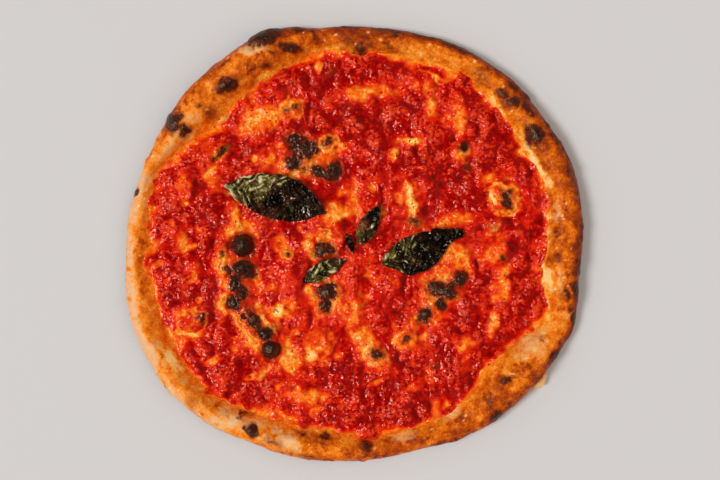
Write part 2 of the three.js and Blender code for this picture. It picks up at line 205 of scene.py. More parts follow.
# Spots on the rim: x, y, half-length, half-width, turn in degrees, swell and how burnt they are.
RIM_SPOTS = (
    (-62, 144.5, 13, 6, 22, 2.6, 0.85),
    (-87.5, 110.5, 8, 5, 25, 2.2, 0.9),
    (-126, 86, 5.5, 7, 20, 1.8, 0.9),
    (-117.5, 78.5, 3, 5, -20, 0.8, 0.75),
    (-45, 136.5, 9, 3, -6, 1, 0.65),
    (-58, 133, 5, 2, -15, 0.4, 0.45),
    (-62, 125, 4.4, 3, -10, 1.2, 0.5),
    (-107, 97, 3, 3, 0, 0.6, 0.45),
    (-100, 91, 4, 5, 0, 0.8, 0.4),
    (5, 136, 4.2, 5, 0, 2, 0.55),
    (-6, 148, 10, 3, 0, 0.4, 0.35),
    (111, 99, 5.2, 4.8, 0, 0.8, 0.68),
    (103, 106, 6, 3.8, -30, 0.6, 0.6),
    (88, 118, 9, 5, -45, 0.6, 0.34),
    (121, 94, 4.6, 5.6, 0, 0.8, 0.58),
    (125.5, 77, 4.6, 6.8, 10, 1.4, 1.05),
    (148, 52, 4, 4, 0, 0.8, 0.5),
    (152, -2, 4, 4, 0, 0.4, 0.35),
    (141, -8, 3.4, 3.4, 0, 1, 0.5),
    (139, 8, 2.4, 2.4, 0, 0.6, 0.45),
    (155, -31, 3.2, 6, 5, 0.6, 0.8),
    (146, -34, 3.4, 6, 0, 0.4, 0.52),
    (150, -44, 3.4, 3.4, 0, 0.8, 0.55),
    (154, -52, 3, 5, -15, 0.4, 0.7),
    (140, -77, 3.8, 5.5, -30, 0.6, 0.75),
    (130, -65, 2, 2, 0, 0.4, 0.4),
    (113, -87, 5, 5, 0, 1.4, 0.2),
    (104, -94, 4.2, 3.8, 0, 1.6, 0.65),
    (98, -99, 5, 4, 20, 0.8, 0.25),
    (99, -119, 5, 3.4, 40, 0.8, 0.85),
    (72, -129, 6, 3, 25, 0.4, 0.35),
    (8, -139, 5, 3.2, -15, 1.6, 0.65),
    (-21, -134, 3.6, 2, -15, 0.6, 0.55),
    (-34, -132, 9, 2, -15, 0.6, 0.4),
    (-56, -135, 8, 3.4, -20, 1, 0.4),
    (-71.5, -128, 3.8, 3.5, 0, 2, 0.85),
    (-79, -119, 2.8, 2.8, 0, 0.8, 0.55),
    (-72, -116, 3.4, 4, 0, 0.6, 0.25),
    (-113, -109, 4, 5.5, 30, 0.6, 0.3),
    (-142, -66, 4, 10, 22, 0.2, 0.14),
    (-71, 119, 9, 1.6, 32, -1, 0.4),
    (-153, 38, 2.5, 2, 60, 0.4, 0.8),
    (-30, -147, 11, 3, -8, 0.4, 0.35),
    (120, -77, 17, 12, 40, 2.6, 0),
    (-45, -138, 13, 7, -12, 1.6, 0),
    (139, -20, 5, 14, 5, 1.2, 0),
)

# Pale streaks and patches, where the dough stayed floury or dry: x, y, half-length, half-width, turn,
# strength.
PALE_PATCHES = (
    (-70, 136, 9, 3.6, 6, 0.95),
    (123, -69, 13, 8, 45, 0.36),
    (69, -117, 7, 2.4, 38, 0.5),
    (35, -133, 9, 2, 20, 0.45),
    (-44, -137, 8, 4.5, -25, 0.5),
    (-90, -121, 6, 9, -40, 0.4),
    (141, 23, 2.6, 8, 0, 0.4),
    (142, -24, 1.8, 9, 8, 0.4),
)

# Patches of bare, buttery yellow dough along the sauce's edge and inside it, in the same columns.
BARE_PATCHES = (
    (-16, 139, 11, 1.8, 2, 0.5),
    (-3, 135, 4.5, 3.4, -40, 0.7),
    (44, 135, 16, 4.2, -13, 0.6),
    (100, 95, 12, 2.4, -55, 0.9),
    (128, 57, 20, 2.6, -63, 1.2),
    (135, 16, 2.4, 14, 3, 0.8),
    (134, -22, 2.8, 12, 8, 1.2),
    (-127, -81, 11, 2.8, -55, 1.3),
    (135, -57, 2.2, 9, -15, 0.5),
    (64, -118, 12, 2, 33, 0.6),
    (-88, 101, 6, 1.4, 20, 0.3),
    (-62, 117, 10, 1.2, 30, 0.35),
    (-73, 108, 6, 1.4, 20, 0.3),
    (-24, 125, 2.4, 6, 0, 0.7),
    (-17, 72.5, 7, 7, 0, 0.5),
    (-52.5, -46, 6, 5.6, 0, 0.8),
    (40, 73, 8.5, 3.2, -5, 0.9),
    (40.5, 32, 14, 2.8, -77, 0.95),
    (44, 12, 6, 4, 0, 0.5),
    (96.5, 34, 8, 2.6, -53, 1),
    (72, 61, 2.6, 6, 20, 0.6),
    (-113, -63, 9, 2.6, -4, 0.9),
    (-30.5, -77, 4.4, 5, -20, 1),
    (-31, 1, 3.6, 9, 10, 0.6),
    (-13, 22, 8, 5, 10, 0.5),
)


def around(table, angle):
    """A value from a table that runs round the pizza in equal steps: a closed Catmull-Rom curve."""
    place = np.mod(angle, 2 * np.pi) / (2 * np.pi) * len(table)
    step = np.floor(place).astype(int)
    share = place - step
    a, b, c, d = (table[(step + k) % len(table)] for k in (-1, 0, 1, 2))
    bend = 2 * a - 5 * b + 4 * c - d
    twist = 3 * (b - c) + d - a
    return b + 0.5 * share * (c - a + share * (bend + share * twist))


def ease(low, high, value):
    """A smooth step from 0 at low to 1 at high: 3t^2 - 2t^3 of the clamped share t."""
    share = np.clip((value - low) / (high - low), 0, 1)
    return share * share * (3 - 2 * share)


def cloud(x, y, z, size, seed):
    """Smooth random values from -1 to 1: drawn at the corners of cubes of a size, eased in between."""
    draws = np.random.default_rng(seed).uniform(-1, 1, 4096)
    places = [np.asarray(value) / size for value in np.broadcast_arrays(x, y, z)]
    cells = [np.floor(place).astype(np.int64) for place in places]
    shares = [ease(0, 1, place - cell) for place, cell in zip(places, cells)]
    total = 0
    for corner in np.ndindex(2, 2, 2):
        key = 0
        weight = 1
        for cell, share, side, prime in zip(cells, shares, corner, (73856093, 19349663, 83492791)):
            key = key ^ (cell + side) * prime
            weight = weight * (share if side else 1 - share)
        total = total + weight * draws[key & 4095]
    return total


def clouds(x, y, z, *layers):
    """A sum of clouds: each layer has an amount, a size in millimetres and a seed."""
    return sum(amount * cloud(x, y, z, size, seed) for amount, size, seed in layers)


def ellipse(x, y, spot):
    """Distance from a spot's middle as a share of its half-length and half-width: 1 on its outline."""
    middle_x, middle_y, half_length, half_width, turn = spot[:5]
    c, s = np.cos(np.radians(turn)), np.sin(np.radians(turn))
    along = ((x - middle_x) * c + (y - middle_y) * s) / half_length
    across = ((y - middle_y) * c - (x - middle_x) * s) / half_width
    return np.hypot(along, across)


def warped(x, y, reach):
    """A place moved at random by about a reach, so that round spots read there get ragged outlines."""
    shake_x = clouds(x, y, 0, (1, 7, 11), (0.6, 2.4, 13))
    shake_y = clouds(x, y, 0, (1, 7, 12), (0.6, 2.4, 14))
    return x + reach * shake_x, y + reach * shake_y


BLISTER_REACH = 1.3  # how far the outlines of the blisters are shaken
BLISTER_CURVE = 0.7  # below 1, their sides are steep
BLISTER_JOIN = 5  # the higher, the sharper the crease between two that meet
BLISTER_LUMPS = (0.13, 3.4, 27)  # lumps on them, as a share of their rise
FLOOR_SWELLS = ((1.5, 22, 15), (0.9, 9, 16))  # and the swells of the floor itself


def dough_rise(x, y):
    """Height over the floor: blisters, domes (1 - e^2)^0.7 times their rise, joined softly, and swells."""
    lumpy = clouds(x, y, 0, BLISTER_LUMPS)
    x, y = warped(x, y, BLISTER_REACH)
    total = 0
    for spot in BLISTERS:
        dome = np.maximum(0, 1 - ellipse(x, y, spot) ** 2) ** BLISTER_CURVE
        total = total + (spot[5] * dome) ** BLISTER_JOIN
    return total ** (1 / BLISTER_JOIN) * (1 + lumpy) + clouds(x, y, 0, *FLOOR_SWELLS)


def grid_faces(shape):
    """The quads of a grid of points and the points along its border, both counter-clockwise."""
    number = np.arange(shape[0] * shape[1]).reshape(shape)
    corners = number[:-1, :-1], number[1:, :-1], number[1:, 1:], number[:-1, 1:]
    quads = np.stack([corner.ravel() for corner in corners], axis=1)
    border = np.concatenate([number[:-1, 0], number[-1, :-1], number[:0:-1, -1], number[0, :0:-1]])
    return quads, border


def disc_grid(steps):
    """A square grid laid on a disc, its square rings turned into circles.
    Gives each point's ring (0 in the middle, 1 at the edge) and angle, its quads and its border."""
    side = np.linspace(-1, 1, 2 * steps + 1)
    u, v = np.meshgrid(side, side, indexing="ij")
    wide = np.abs(u) >= np.abs(v)
    long = np.where(wide, u, v)
    tilt = np.where(wide, v, u) / np.where(long == 0, 1, long)
    angle = np.where(wide, np.pi / 4 * tilt, np.pi / 2 - np.pi / 4 * tilt) + np.pi * (long < 0)
    quads, border = grid_faces(u.shape)
    return np.abs(long).ravel(), angle.ravel(), quads, border


def rim_at(angle):
    """The rim's edge, crown, foot and height at an angle."""
    edge = around(EDGE_RADII, angle)
    inner = around(SAUCE_RADII, angle)
    swell = sum(amount * np.sin(waves * angle + phase) for amount, waves, phase in RIM_HEIGHT_WAVES)
    crown = inner + CROWN_SHARE * (edge - inner)
    height = (RIM_HEIGHT_BASE + RIM_HEIGHT_PER_WIDTH * (edge - inner)) * (1 + swell)
    return edge, crown, inner - FOOT_UNDER_SAUCE, height


def bread_top(x, y):
    """Height of the bread from its middle to the rim's crown: floor, blisters and the inner slope."""
    angle = np.arctan2(y, x)
    _, crown, foot, height = rim_at(angle)
    climb = np.clip((np.hypot(x, y) - foot) / (crown - foot), 0, 1)
    slope = np.sin(np.pi / 2 * climb) ** INNER_EASE
    return FLOOR_HEIGHT + (height - FLOOR_HEIGHT) * slope + dough_rise(x, y) * (1 - climb)


SKIN_LUMPS = ((0.5, 12, 18), (0.24, 2.6, 19))  # soft lumps and pimples
SKIN_BUBBLE_RISE = 1.2  # of the round bubbles in the skin
SKIN_BUBBLE_LEVEL = 0.15  # they come up where a cloud is over this
SKIN_BUBBLE_CURVE = 1.3  # above 1, their feet are soft


def skin_relief(x, y, z):
    """Bumps of the rim's skin: soft lumps, pimples, and round bubbles where a cloud is over a level."""
    bubbles = np.maximum(0, cloud(x, y, z, 6.5, 17) - SKIN_BUBBLE_LEVEL) ** SKIN_BUBBLE_CURVE
    return clouds(x, y, z, *SKIN_LUMPS) + SKIN_BUBBLE_RISE * bubbles


RIM_SPOT_CURVE = 0.8  # below 1, the spots on the rim swell with steep sides
LUMP_FADE = (0.12, 0.85)  # shares of the rim's steps between which its lumps have their full height


def bread_surface(ring, angle):
    """The bread from the middle of its floor, up the inner slope, over the crown, down its side and
    under its edge: a sine slope, then quarter ellipses, pushed out by lumps and small bubbles."""
    edge, crown, foot, height = rim_at(angle)
    side = SIDE_SHARE * height
    on_rim = np.clip((ring - FLOOR_PART) / (1 - FLOOR_PART), 0, 1)
    section = np.pi * np.interp(on_rim, (0, *RIM_PARTS, 1), (1, 0.5, 0, -0.5))
    climb = np.clip(2 - section / (np.pi / 2), 0, 1)
    outer = np.clip(section, 0, np.pi / 2)
    under = np.clip(-section, 0, np.pi / 2)
    waves = sum(np.sin(a * angle + b * section + phase) for a, b, phase in LUMP_WAVES)
    ends = np.sin(2 / 3 * (section + np.pi / 2))  # 0 at the section's two ends
    lump = LUMP * ends * waves / len(LUMP_WAVES)
    inside = foot * np.minimum(ring / FLOOR_PART, 1) + (crown - foot) * climb
    radius = np.where(section > np.pi / 2, inside, crown + (edge - crown) * np.cos(outer))
    radius = radius - UNDERCUT * (1 - np.cos(under))
    x, y = radius * np.cos(angle), radius * np.sin(angle)
    z = np.where(section > np.pi / 2, bread_top(x, y), side + (height - side) * np.sin(outer))
    z = z - side * np.sin(under)
    lump = lump + skin_relief(x, y, z)
    for spot in RIM_SPOTS:
        lump = lump + spot[5] * np.maximum(0, 1 - ellipse(x, y, spot) ** 2) ** RIM_SPOT_CURVE
    lump = lump * ease(0, LUMP_FADE[0], on_rim) * ease(1, LUMP_FADE[1], on_rim)
    push = lump * np.cos(section)
    return np.stack([x + push * np.cos(angle), y + push * np.sin(angle), z + lump * np.sin(section)], 1)


def closed_below(top, quads, border, rings, centre):
    """A surface's points and faces, closed under its border by rings of points and a fan round a centre."""
    loop = np.arange(len(border))
    following = np.roll(loop, -1)
    points = np.concatenate([top, *rings, [centre]])
    numbers = [border] + [len(top) + k * len(border) + loop for k in range(len(rings))]
    faces = quads.tolist()
    for upper, lower in zip(numbers, numbers[1:]):
        faces += np.stack([upper, lower, lower[following], upper[following]], 1).tolist()
    faces += [(b, a, len(points) - 1) for a, b in zip(numbers[-1], numbers[-1][following])]
    return points, faces


BASE_SHARES = (0.85, 0.5, 0.15)  # rings of the flat base, as shares of its radius
ring, angle, quads, border = disc_grid(BREAD_STEPS)
bread = bread_surface(ring, angle)
base = [bread[border] * (share, share, 0) for share in BASE_SHARES]
bread, bread_faces = closed_below(bread, quads, border, base, (0, 0, 0))
bread = np.maximum(bread, (-np.inf, -np.inf, 0))
middle = 0.5 * (bread.min(0) + bread.max(0)) * (1, 1, 0)  # the frame's origin


def make_piece(name, points, faces, **fields):
    """A mesh object at the origin from points in millimetres, with one number a point in each field."""
    mesh = bpy.data.meshes.new(name)
    mesh.from_pydata(((points - middle) * 0.001).tolist(), [], faces)
    mesh.shade_smooth()
    for field, values in fields.items():
        layer = mesh.attributes.new(field, "FLOAT", "POINT")
        layer.data.foreach_set("value", np.ascontiguousarray(values, dtype=np.float32))
    piece = bpy.data.objects.new(name, mesh)
    bpy.context.collection.objects.link(piece)
    return piece


def spot_field(x, y, table, column, soft, reach):
    """The strongest of a table's spots at each place, faded out over a soft edge with ragged outlines."""
    x, y = warped(x, y, reach)
    total = np.zeros(np.shape(x))
    for spot in table:
        total = np.maximum(total, spot[column] * ease(1 + soft, 1 - soft, ellipse(x, y, spot)))
    return total


# How burnt, floury and buttery each point of the bread is. A place across the rim is a share of the way
# from its foot to its edge.
BURNT_SOFT, RIM_SOFT, PALE_SOFT, BARE_SOFT = 0.9, 1.0, 0.6, 0.8  # share of a spot over which it fades
BURNT_REACH, PATCH_REACH = 2.0, 1.6  # how far the outlines of spots are shaken
RIM_PEAK = 1.08  # how burnt the middle of a spot on the rim gets, where its table says 1
LIP_PLACE, LIP_WIDTH = 0.16, 0.06  # middle and half-width of the bare lip, across the rim
x, y, z = bread.T
turn = np.arctan2(y, x)
edge, _, foot, _ = rim_at(turn)
across = np.clip((np.hypot(x, y) - foot) / (edge - foot), 0, 1)
burnt = spot_field(x, y, BLISTERS, 7, BURNT_SOFT, BURNT_REACH)
burnt = np.maximum(burnt, RIM_PEAK * spot_field(x, y, RIM_SPOTS, 6, RIM_SOFT, BURNT_REACH))
pale = spot_field(x, y, PALE_PATCHES, 5, PALE_SOFT, PATCH_REACH)
butter = spot_field(x, y, BARE_PATCHES, 5, BARE_SOFT, PATCH_REACH)
off_lip = np.abs(across - LIP_PLACE + clouds(x, y, z, (0.04, 10, 66)))
lip = around(LIP, turn) * ease(LIP_WIDTH, 0, off_lip)
butter = np.maximum(butter, lip * ease(-0.4, 0.4, cloud(x, y, z, 7, 67)))

DOT_COUNT = 70  # small pale dots on the rim
DOT_PLACES = (0.3, 0.85)  # across the rim
DOT_SIZES = (0.5, 1.2)  # half-length
DOT_WIDTH = 0.8  # half-width, as a share of the half-length
DOT_SOFT, DOT_REACH = 0.5, 0.6
dots = np.random.default_rng(61)
dot_turn = dots.uniform(0, 2 * np.pi, DOT_COUNT)
dot_edge, _, dot_foot, _ = rim_at(dot_turn)
dot_radius = dot_foot + dots.uniform(*DOT_PLACES, DOT_COUNT) * (dot_edge - dot_foot)
dot_size = dots.uniform(*DOT_SIZES, DOT_COUNT)
pale_dots = np.stack([
    dot_radius * np.cos(dot_turn), dot_radius * np.sin(dot_turn), dot_size, DOT_WIDTH * dot_size,
    dots.uniform(0, 180, DOT_COUNT), dots.uniform(0.5, 1.0, DOT_COUNT)], 1)
pale = np.maximum(pale, spot_field(x, y, pale_dots, 5, DOT_SOFT, DOT_REACH))

# How brown it is: the top's and the outer side's browning, which meet further in on some sides.
SIDE_PLACE = 0.84  # where the outer side's browning starts, across the rim
# How much further in it starts, about which bearing in degrees, and the cosines off that bearing between
# which this fades.
SIDE_INWARD = ((0.34, 190, 0.3, 0.9), (0.2, 88, 0.1, 0.7), (0.17, -12, 0.4, 0.95))
WEST_FULL = 0.22  # how far inside the rim's edge it is full, in the west
WEST_BUTTER_AND_LIGHT = 0.08  # how buttery the inner slope is there, partly painted light on a slope that faces away from the key light
TOP_MOTTLE = ((0.12, 26, 21), (0.1, 8, 22))  # clouds in the top's browning
SIDE_MOTTLE = (0.14, 10, 23)  # and in the outer side's
BAKE_PER_RELIEF = 0.1  # bumps are browner, for each millimetre
BAKE_OFF_PALE = 0.3  # and floury patches less brown
STAIN_FADE = (0.06, 0.4)  # the places across the rim between which the stain of sauce and oil fades
BASE_HEIGHTS = (1.5, 0.2)  # heights between which the side turns into the base
BASE_MOTTLE = (0.25, 14, 25)  # clouds in the base's browning
BASE_BURNT = 0.8  # in the darkest patches of the base
facing = [ease(low, high, np.cos(turn - np.radians(bearing))) for _, bearing, low, high in SIDE_INWARD]
westward = facing[0]
inward = sum(row[0] * face for row, face in zip(SIDE_INWARD, facing))
butter = np.maximum(butter, WEST_BUTTER_AND_LIGHT * westward * ease(0.6, 0.2, across) * ease(0.0, 0.1, across))
outside = ease(SIDE_PLACE - inward, 1 - WEST_FULL * westward, across + clouds(x, y, z, (0.04, 9, 28)))
# The browning holds some painted light and shade from its tables: paler on the west's inner slope, browner on
# the east's outer side.
top_bake = around(TOP_BAKE_AND_LIGHT, turn) + clouds(x, y, z, *TOP_MOTTLE)
side_bake = around(SIDE_BAKE_AND_SHADE, turn) + clouds(x, y, z, SIDE_MOTTLE)
bake = top_bake * (1 - outside) + side_bake * outside
bake = bake + BAKE_PER_RELIEF * skin_relief(x, y, z) - BAKE_OFF_PALE * pale
stain = 1 - ease(*STAIN_FADE, across + clouds(x, y, z, (0.12, 8, 24), (0.06, 2.8, 29)))
underneath = ease(*BASE_HEIGHTS, z)
bake = np.clip(bake + underneath * clouds(x, y, z, BASE_MOTTLE), 0, 1)
base_burnt = BASE_BURNT * ease(0.35, 0.6, cloud(x, y, z, 9, 26))
burnt = np.maximum(burnt * (1 - underneath), base_burnt * underneath)
crust = make_piece("crust_bread", bread, bread_faces, burnt=burnt, pale=pale, bake=bake, stain=stain,
                   butter=butter)


def linear(hexcode):
    """An sRGB hex colour as linear red, green, blue and alpha."""
    value = np.array([int(hexcode[k:k + 2], 16) for k in (1, 3, 5)]) / 255
    return (*np.where(value <= 0.04045, value / 12.92, ((value + 0.055) / 1.055) ** 2.4), 1)


def add(tree, kind, inputs=None, stops=(), **settings):
    """Adds a shader node with its settings, inputs and, on a ramp, its stops. An input is a value, a
    socket to link, or a node, whose first output in use is linked."""
    node = tree.nodes.new("ShaderNode" + kind)
    for name, value in settings.items():
        setattr(node, name, value)
    for place, value in (inputs or {}).items():
        if isinstance(value, bpy.types.Node):
            value = next(output for output in value.outputs if output.enabled)
        if isinstance(value, bpy.types.NodeSocket):
            tree.links.new(value, node.inputs[place])
        else:
            node.inputs[place].default_value = value
    for k, (place, hexcode) in enumerate(stops):
        steps = node.color_ramp.elements
        step = steps[k] if k < 2 else steps.new(place)
        step.position, step.color = place, linear(hexcode)
    return node


def new_material(name):
    """An empty node material and its tree."""
    material = bpy.data.materials.new(name)
    material.use_nodes = True
    material.node_tree.nodes.clear()
    return material, material.node_tree


# Wood-fired wheat crust: a dry, finely pitted skin, straw to deep brown by how long it met the heat and
# in places by painted light and shade, orange where oil and tomato have soaked in, floury in streaks, and
# crumbs of shiny coal where it burnt.
CRUST_PORE = 0.0009  # metres, width of the pits in the skin
CRUST_FLECK = 0.0018  # of the brown flecks
CRUST_CLOUD = 0.007  # of the cloudy browning
CRUST_FRECKLE = 0.0048  # of the red-brown freckles
CRUST_FLOCK = 0.016  # of the areas that have freckles
CRUST_PIT = 0.0009  # depth of the roughest pits
CHAR_CRUMB = 0.003  # width of the crumbs that char breaks into


def skin_noise(tree, where):
    """The noises of a baked skin: its pores, pores with flecks and clouds, and these from -0.24 to 0.24."""
    browning = add(tree, "TexNoise", {
        "Vector": where, "Scale": 1 / CRUST_CLOUD, "Detail": 3.0, "Roughness": 0.6})
    flecks = add(tree, "TexNoise", {"Vector": where, "Scale": 1 / CRUST_FLECK, "Detail": 1.0})
    pores = add(tree, "TexNoise", {"Vector": where, "Scale": 1 / CRUST_PORE, "Detail": 1.0})
    coarse = add(tree, "Math", {0: flecks, 1: 0.4, 2: browning}, operation="MULTIPLY_ADD")
    mottle = add(tree, "Math", {0: pores, 1: 0.15, 2: coarse}, operation="MULTIPLY_ADD")
    uneven = add(tree, "MapRange", {0: mottle, 1: 0.5, 2: 1.05, 3: -0.24, 4: 0.24})
    return pores, mottle, uneven


def charred(tree, where, colour, burnt, pores):
    """A colour scorched brown and then burnt to coal with ashy grey specks, partly real ashes and partly
    painted glints, the coal's share and its crumbs.
    """
    crumbs = add(tree, "TexNoise", {
        "Vector": where, "Scale": 1 / CHAR_CRUMB, "Detail": 3.0, "Roughness": 0.65})
    ragged = add(tree, "MapRange", {0: crumbs, 1: 0.3, 2: 0.7, 3: -0.5, 4: 0.5})
    brittle = add(tree, "Math", {0: burnt, 1: 1.5}, operation="POWER", use_clamp=True)
    burning = add(tree, "Math", {0: ragged, 1: brittle, 2: burnt}, operation="MULTIPLY_ADD")
    scorch = add(tree, "MapRange", {0: burning, 1: 0.08, 2: 0.5})
    char = add(tree, "ValToRGB", {0: burning}, stops=(
        (0.1, "#A8400E"), (1.0, "#160A08"), (0.3, "#7E280C"), (0.5, "#58180C"), (0.72, "#36120A")))
    scorched = add(tree, "Mix", {0: scorch, 6: colour, 7: char}, data_type="RGBA")
    coal = add(tree, "MapRange", {0: burning, 1: 0.4, 2: 0.8})
    # Grey specks on the coal's pores: partly ashes, partly painted glints.
    ash_and_painted_glints = add(tree, "MapRange", {0: pores, 1: 0.54, 2: 0.74, 3: 0.0, 4: 0.28})
    ash_and_glint_share = add(tree, "Math", {0: ash_and_painted_glints, 1: coal}, operation="MULTIPLY")
    burned = add(tree, "Mix", {0: ash_and_glint_share, 6: scorched, 7: linear("#7A5C54")}, data_type="RGBA")
    return burned, coal, crumbs


wheat_crust, tree = new_material("wood_fired_wheat_crust")
where = add(tree, "TexCoord").outputs["Object"]
fields = {name: add(tree, "Attribute", attribute_name=name).outputs["Fac"]
          for name in ("burnt", "pale", "bake", "stain", "butter")}
pores, rough, uneven = skin_noise(tree, where)
freckles = add(tree, "TexNoise", {"Vector": where, "Scale": 1 / CRUST_FRECKLE})
flocks = add(tree, "TexNoise", {"Vector": where, "Scale": 1 / CRUST_FLOCK, "Detail": 1.0})
freckled = add(tree, "MapRange", {0: freckles, 1: 0.48, 2: 0.7, 3: 0.0, 4: 0.38})
flocked = add(tree, "MapRange", {0: flocks, 1: 0.42, 2: 0.6})
marks = add(tree, "Math", {0: freckled, 1: flocked}, operation="MULTIPLY")
marked = add(tree, "Math", {0: marks, 1: fields["bake"]}, operation="ADD")
calm = add(tree, "MapRange", {0: fields["bake"], 1: 0.0, 2: 0.35, 3: 0.5, 4: 1.15})
browned = add(tree, "Math", {0: uneven, 1: calm, 2: marked}, operation="MULTIPLY_ADD")
dough = add(tree, "ValToRGB", {0: browned}, stops=(
    (0.0, "#E2AC80"), (1.0, "#50200A"), (0.12, "#E69C52"), (0.24, "#EE861E"), (0.42, "#D66608"),
    (0.6, "#B04406"), (0.82, "#7E2E0A")))
oily = add(tree, "MapRange", {0: uneven, 1: -0.24, 2: 0.24, 3: 0.12, 4: 0.95})
buttery = add(tree, "Math", {0: fields["butter"], 1: -0.5, 2: oily}, operation="MULTIPLY_ADD")
soaked = add(tree, "ValToRGB", {0: buttery}, stops=(
    (0.0, "#FFD284"), (1.0, "#C03A04"), (0.15, "#FCB048"), (0.35, "#F48E20"), (0.65, "#E6640A")))
wetted = add(tree, "Math", {0: fields["stain"], 1: fields["butter"]}, operation="MAXIMUM")
dyed = add(tree, "Mix", {0: wetted, 6: dough, 7: soaked}, data_type="RGBA")
floury_edge = add(tree, "Math", {0: uneven, 1: -0.55, 2: fields["pale"]}, operation="MULTIPLY_ADD")
floury = add(tree, "MapRange", {0: floury_edge, 1: 0.1, 2: 1.1, 3: 0.0, 4: 0.85})
light = add(tree, "Mix", {0: floury, 6: dyed, 7: linear("#F6CE90")}, data_type="RGBA")
skin, coal, crumbs = charred(tree, where, light, fields["burnt"], pores)
smooth = add(tree, "MapRange", {0: coal, 3: 1.0, 4: 0.3})
pitted = add(tree, "Math", {0: rough, 1: smooth}, operation="MULTIPLY")
crumbly = add(tree, "Math", {0: coal, 1: 1.5}, operation="MULTIPLY")
grit = add(tree, "Math", {0: crumbs, 1: crumbly, 2: pitted}, operation="MULTIPLY_ADD")
# Past a burnt share of 1.1, as on the two round bubbles, the coal is less broken and less glossy.
crisp, tarry, shine = (
    add(tree, "MapRange", {0: fields["burnt"], 1: 1.1, 2: 1.6, 3: broken, 4: whole})
    for broken, whole in ((0.9, 0.6), (0.28, 0.38), (0.95, 0.8)))
pits = add(tree, "Bump", {"Height": grit, "Strength": crisp, "Distance": CRUST_PIT})
damp = add(tree, "MapRange", {0: wetted, 3: 0.4, 4: 0.2})
sheen = add(tree, "Mix", {0: coal, 2: damp, 3: tarry})
greasy = add(tree, "MapRange", {0: wetted, 3: 0.26, 4: 0.6})
glassy = add(tree, "Mix", {0: coal, 2: greasy, 3: shine})
shader = add(tree, "BsdfPrincipled", {
    "Base Color": skin, "Roughness": sheen, "IOR": 1.45, "Specular IOR Level": glassy,
    "Specular Tint": linear("#FFCC98"), "Normal": pits})
add(tree, "OutputMaterial", {"Surface": shader})
crust.data.materials.append(wheat_crust)
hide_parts("crust")
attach(crust, "root")

# A torn scrap of the same bread, which sticks out from under the rim in the south-east: two soft lumps
# of pale crumb, squeezed together.
SCRAP_STEPS = 14
SCRAP_SHAKE = (1.0, 1.0, 0.6)  # how far its surface is pushed about in x, y and z
SCRAP_PALE, SCRAP_BAKE = 0.7, 0.2
# x, y, z, half-length, half-width, turn in degrees and half-height of each lump.
SCRAP = ((130.5, -95, 4.2, 6.0, 4.0, 50, 2.8), (127.5, -97.5, 3.4, 3.5, 3.0, 20, 2.4))


def pillow_grid(steps):
    """Two disc grids joined along their border: each point's ring, angle and face (1 above, -1 below)."""
    ring, angle, quads, border = disc_grid(steps)
    inner = np.setdiff1d(np.arange(len(ring)), border)
    below = np.arange(len(ring))
    below[inner] = len(ring) + np.arange(len(inner))
    faces = np.concatenate([quads, below[quads][:, ::-1]])
    side = np.concatenate([np.ones(len(ring)), -np.ones(len(inner))])
    return np.concatenate([ring, ring[inner]]), np.concatenate([angle, angle[inner]]), side, faces


def repeated(faces, copies, points):
    """The faces of a number of copies whose points follow on each other."""
    return (points * np.arange(copies)[:, None, None] + faces).reshape(-1, 4).tolist()


def turned(x, y, along, across, turn):
    """The place that lies along and across an axis from x, y, with the axis turned by radians."""
    c, s = np.cos(turn), np.sin(turn)
    return x + along * c - across * s, y + along * s + across * c


def scrap_lump(ring, angle, side, lump):
    """An ellipsoid's two halves, sqrt(1 - r^2) high, turned and pushed about by clouds."""
    x, y, z, half_length, half_width, turn, half_height = lump
    along, across = half_length * ring * np.cos(angle), half_width * ring * np.sin(angle)
    px, py = turned(x, y, along, across, np.radians(turn))
    pz = z + half_height * side * np.sqrt(np.maximum(0, 1 - ring ** 2))
    shake = np.stack([cloud(px, py, pz, 2.6, seed) for seed in (62, 63, 64)], 1) * SCRAP_SHAKE
    return np.maximum(np.stack([px, py, pz], 1) + shake, (-np.inf, -np.inf, 0.1))


ring, angle, side, lump_faces = pillow_grid(SCRAP_STEPS)
scrap = np.concatenate([scrap_lump(ring, angle, side, lump) for lump in SCRAP])
scrap_faces = repeated(lump_faces, len(SCRAP), len(ring))
plain = np.zeros(len(scrap))
torn = make_piece("crust_scrap", scrap, scrap_faces, burnt=plain, stain=plain, butter=plain,
                  pale=plain + SCRAP_PALE, bake=SCRAP_BAKE + clouds(*scrap.T, (0.2, 3, 65)))
torn.data.materials.append(wheat_crust)
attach(torn, "root")

# Two bubbles of the same dough in the burnt chain, blown up into round balls and charred all over, on
# top of the bread's own bumps.
BUBBLE_STEPS = 22
BUBBLE_CURVE = 0.6  # below 1, they are rounder than a dome
BUBBLE_ROOT = 2.5  # how far their undersides reach into the bread
BUBBLE_DENTS = ((0.09, 4, 68), (0.04, 1.6, 69))  # as shares of their rise
BUBBLE_BURNT = (0.5, 1.4)  # how burnt their feet are, and how much more so all above
BUBBLES = ((-77.8, 0.2, 7.7, 10.0), (-58.3, -72.4, 6.6, 8.4))  # x, y, radius and rise over the floor


def bubble_dome(ring, angle, side, bubble):
    """A dome (1 - r^2)^0.6 times its rise over a shallow bowl that is sunk in the bread, a little dented."""
    x, y, radius, rise = bubble
    px, py = x + radius * ring * np.cos(angle), y + radius * ring * np.sin(angle)
    swell = np.maximum(0, 1 - ring ** 2) ** BUBBLE_CURVE
    dent = 1 + clouds(px, py, 0, *BUBBLE_DENTS)
    return np.stack([px, py, FLOOR_HEIGHT + np.where(side > 0, rise * dent, -BUBBLE_ROOT) * swell], 1)


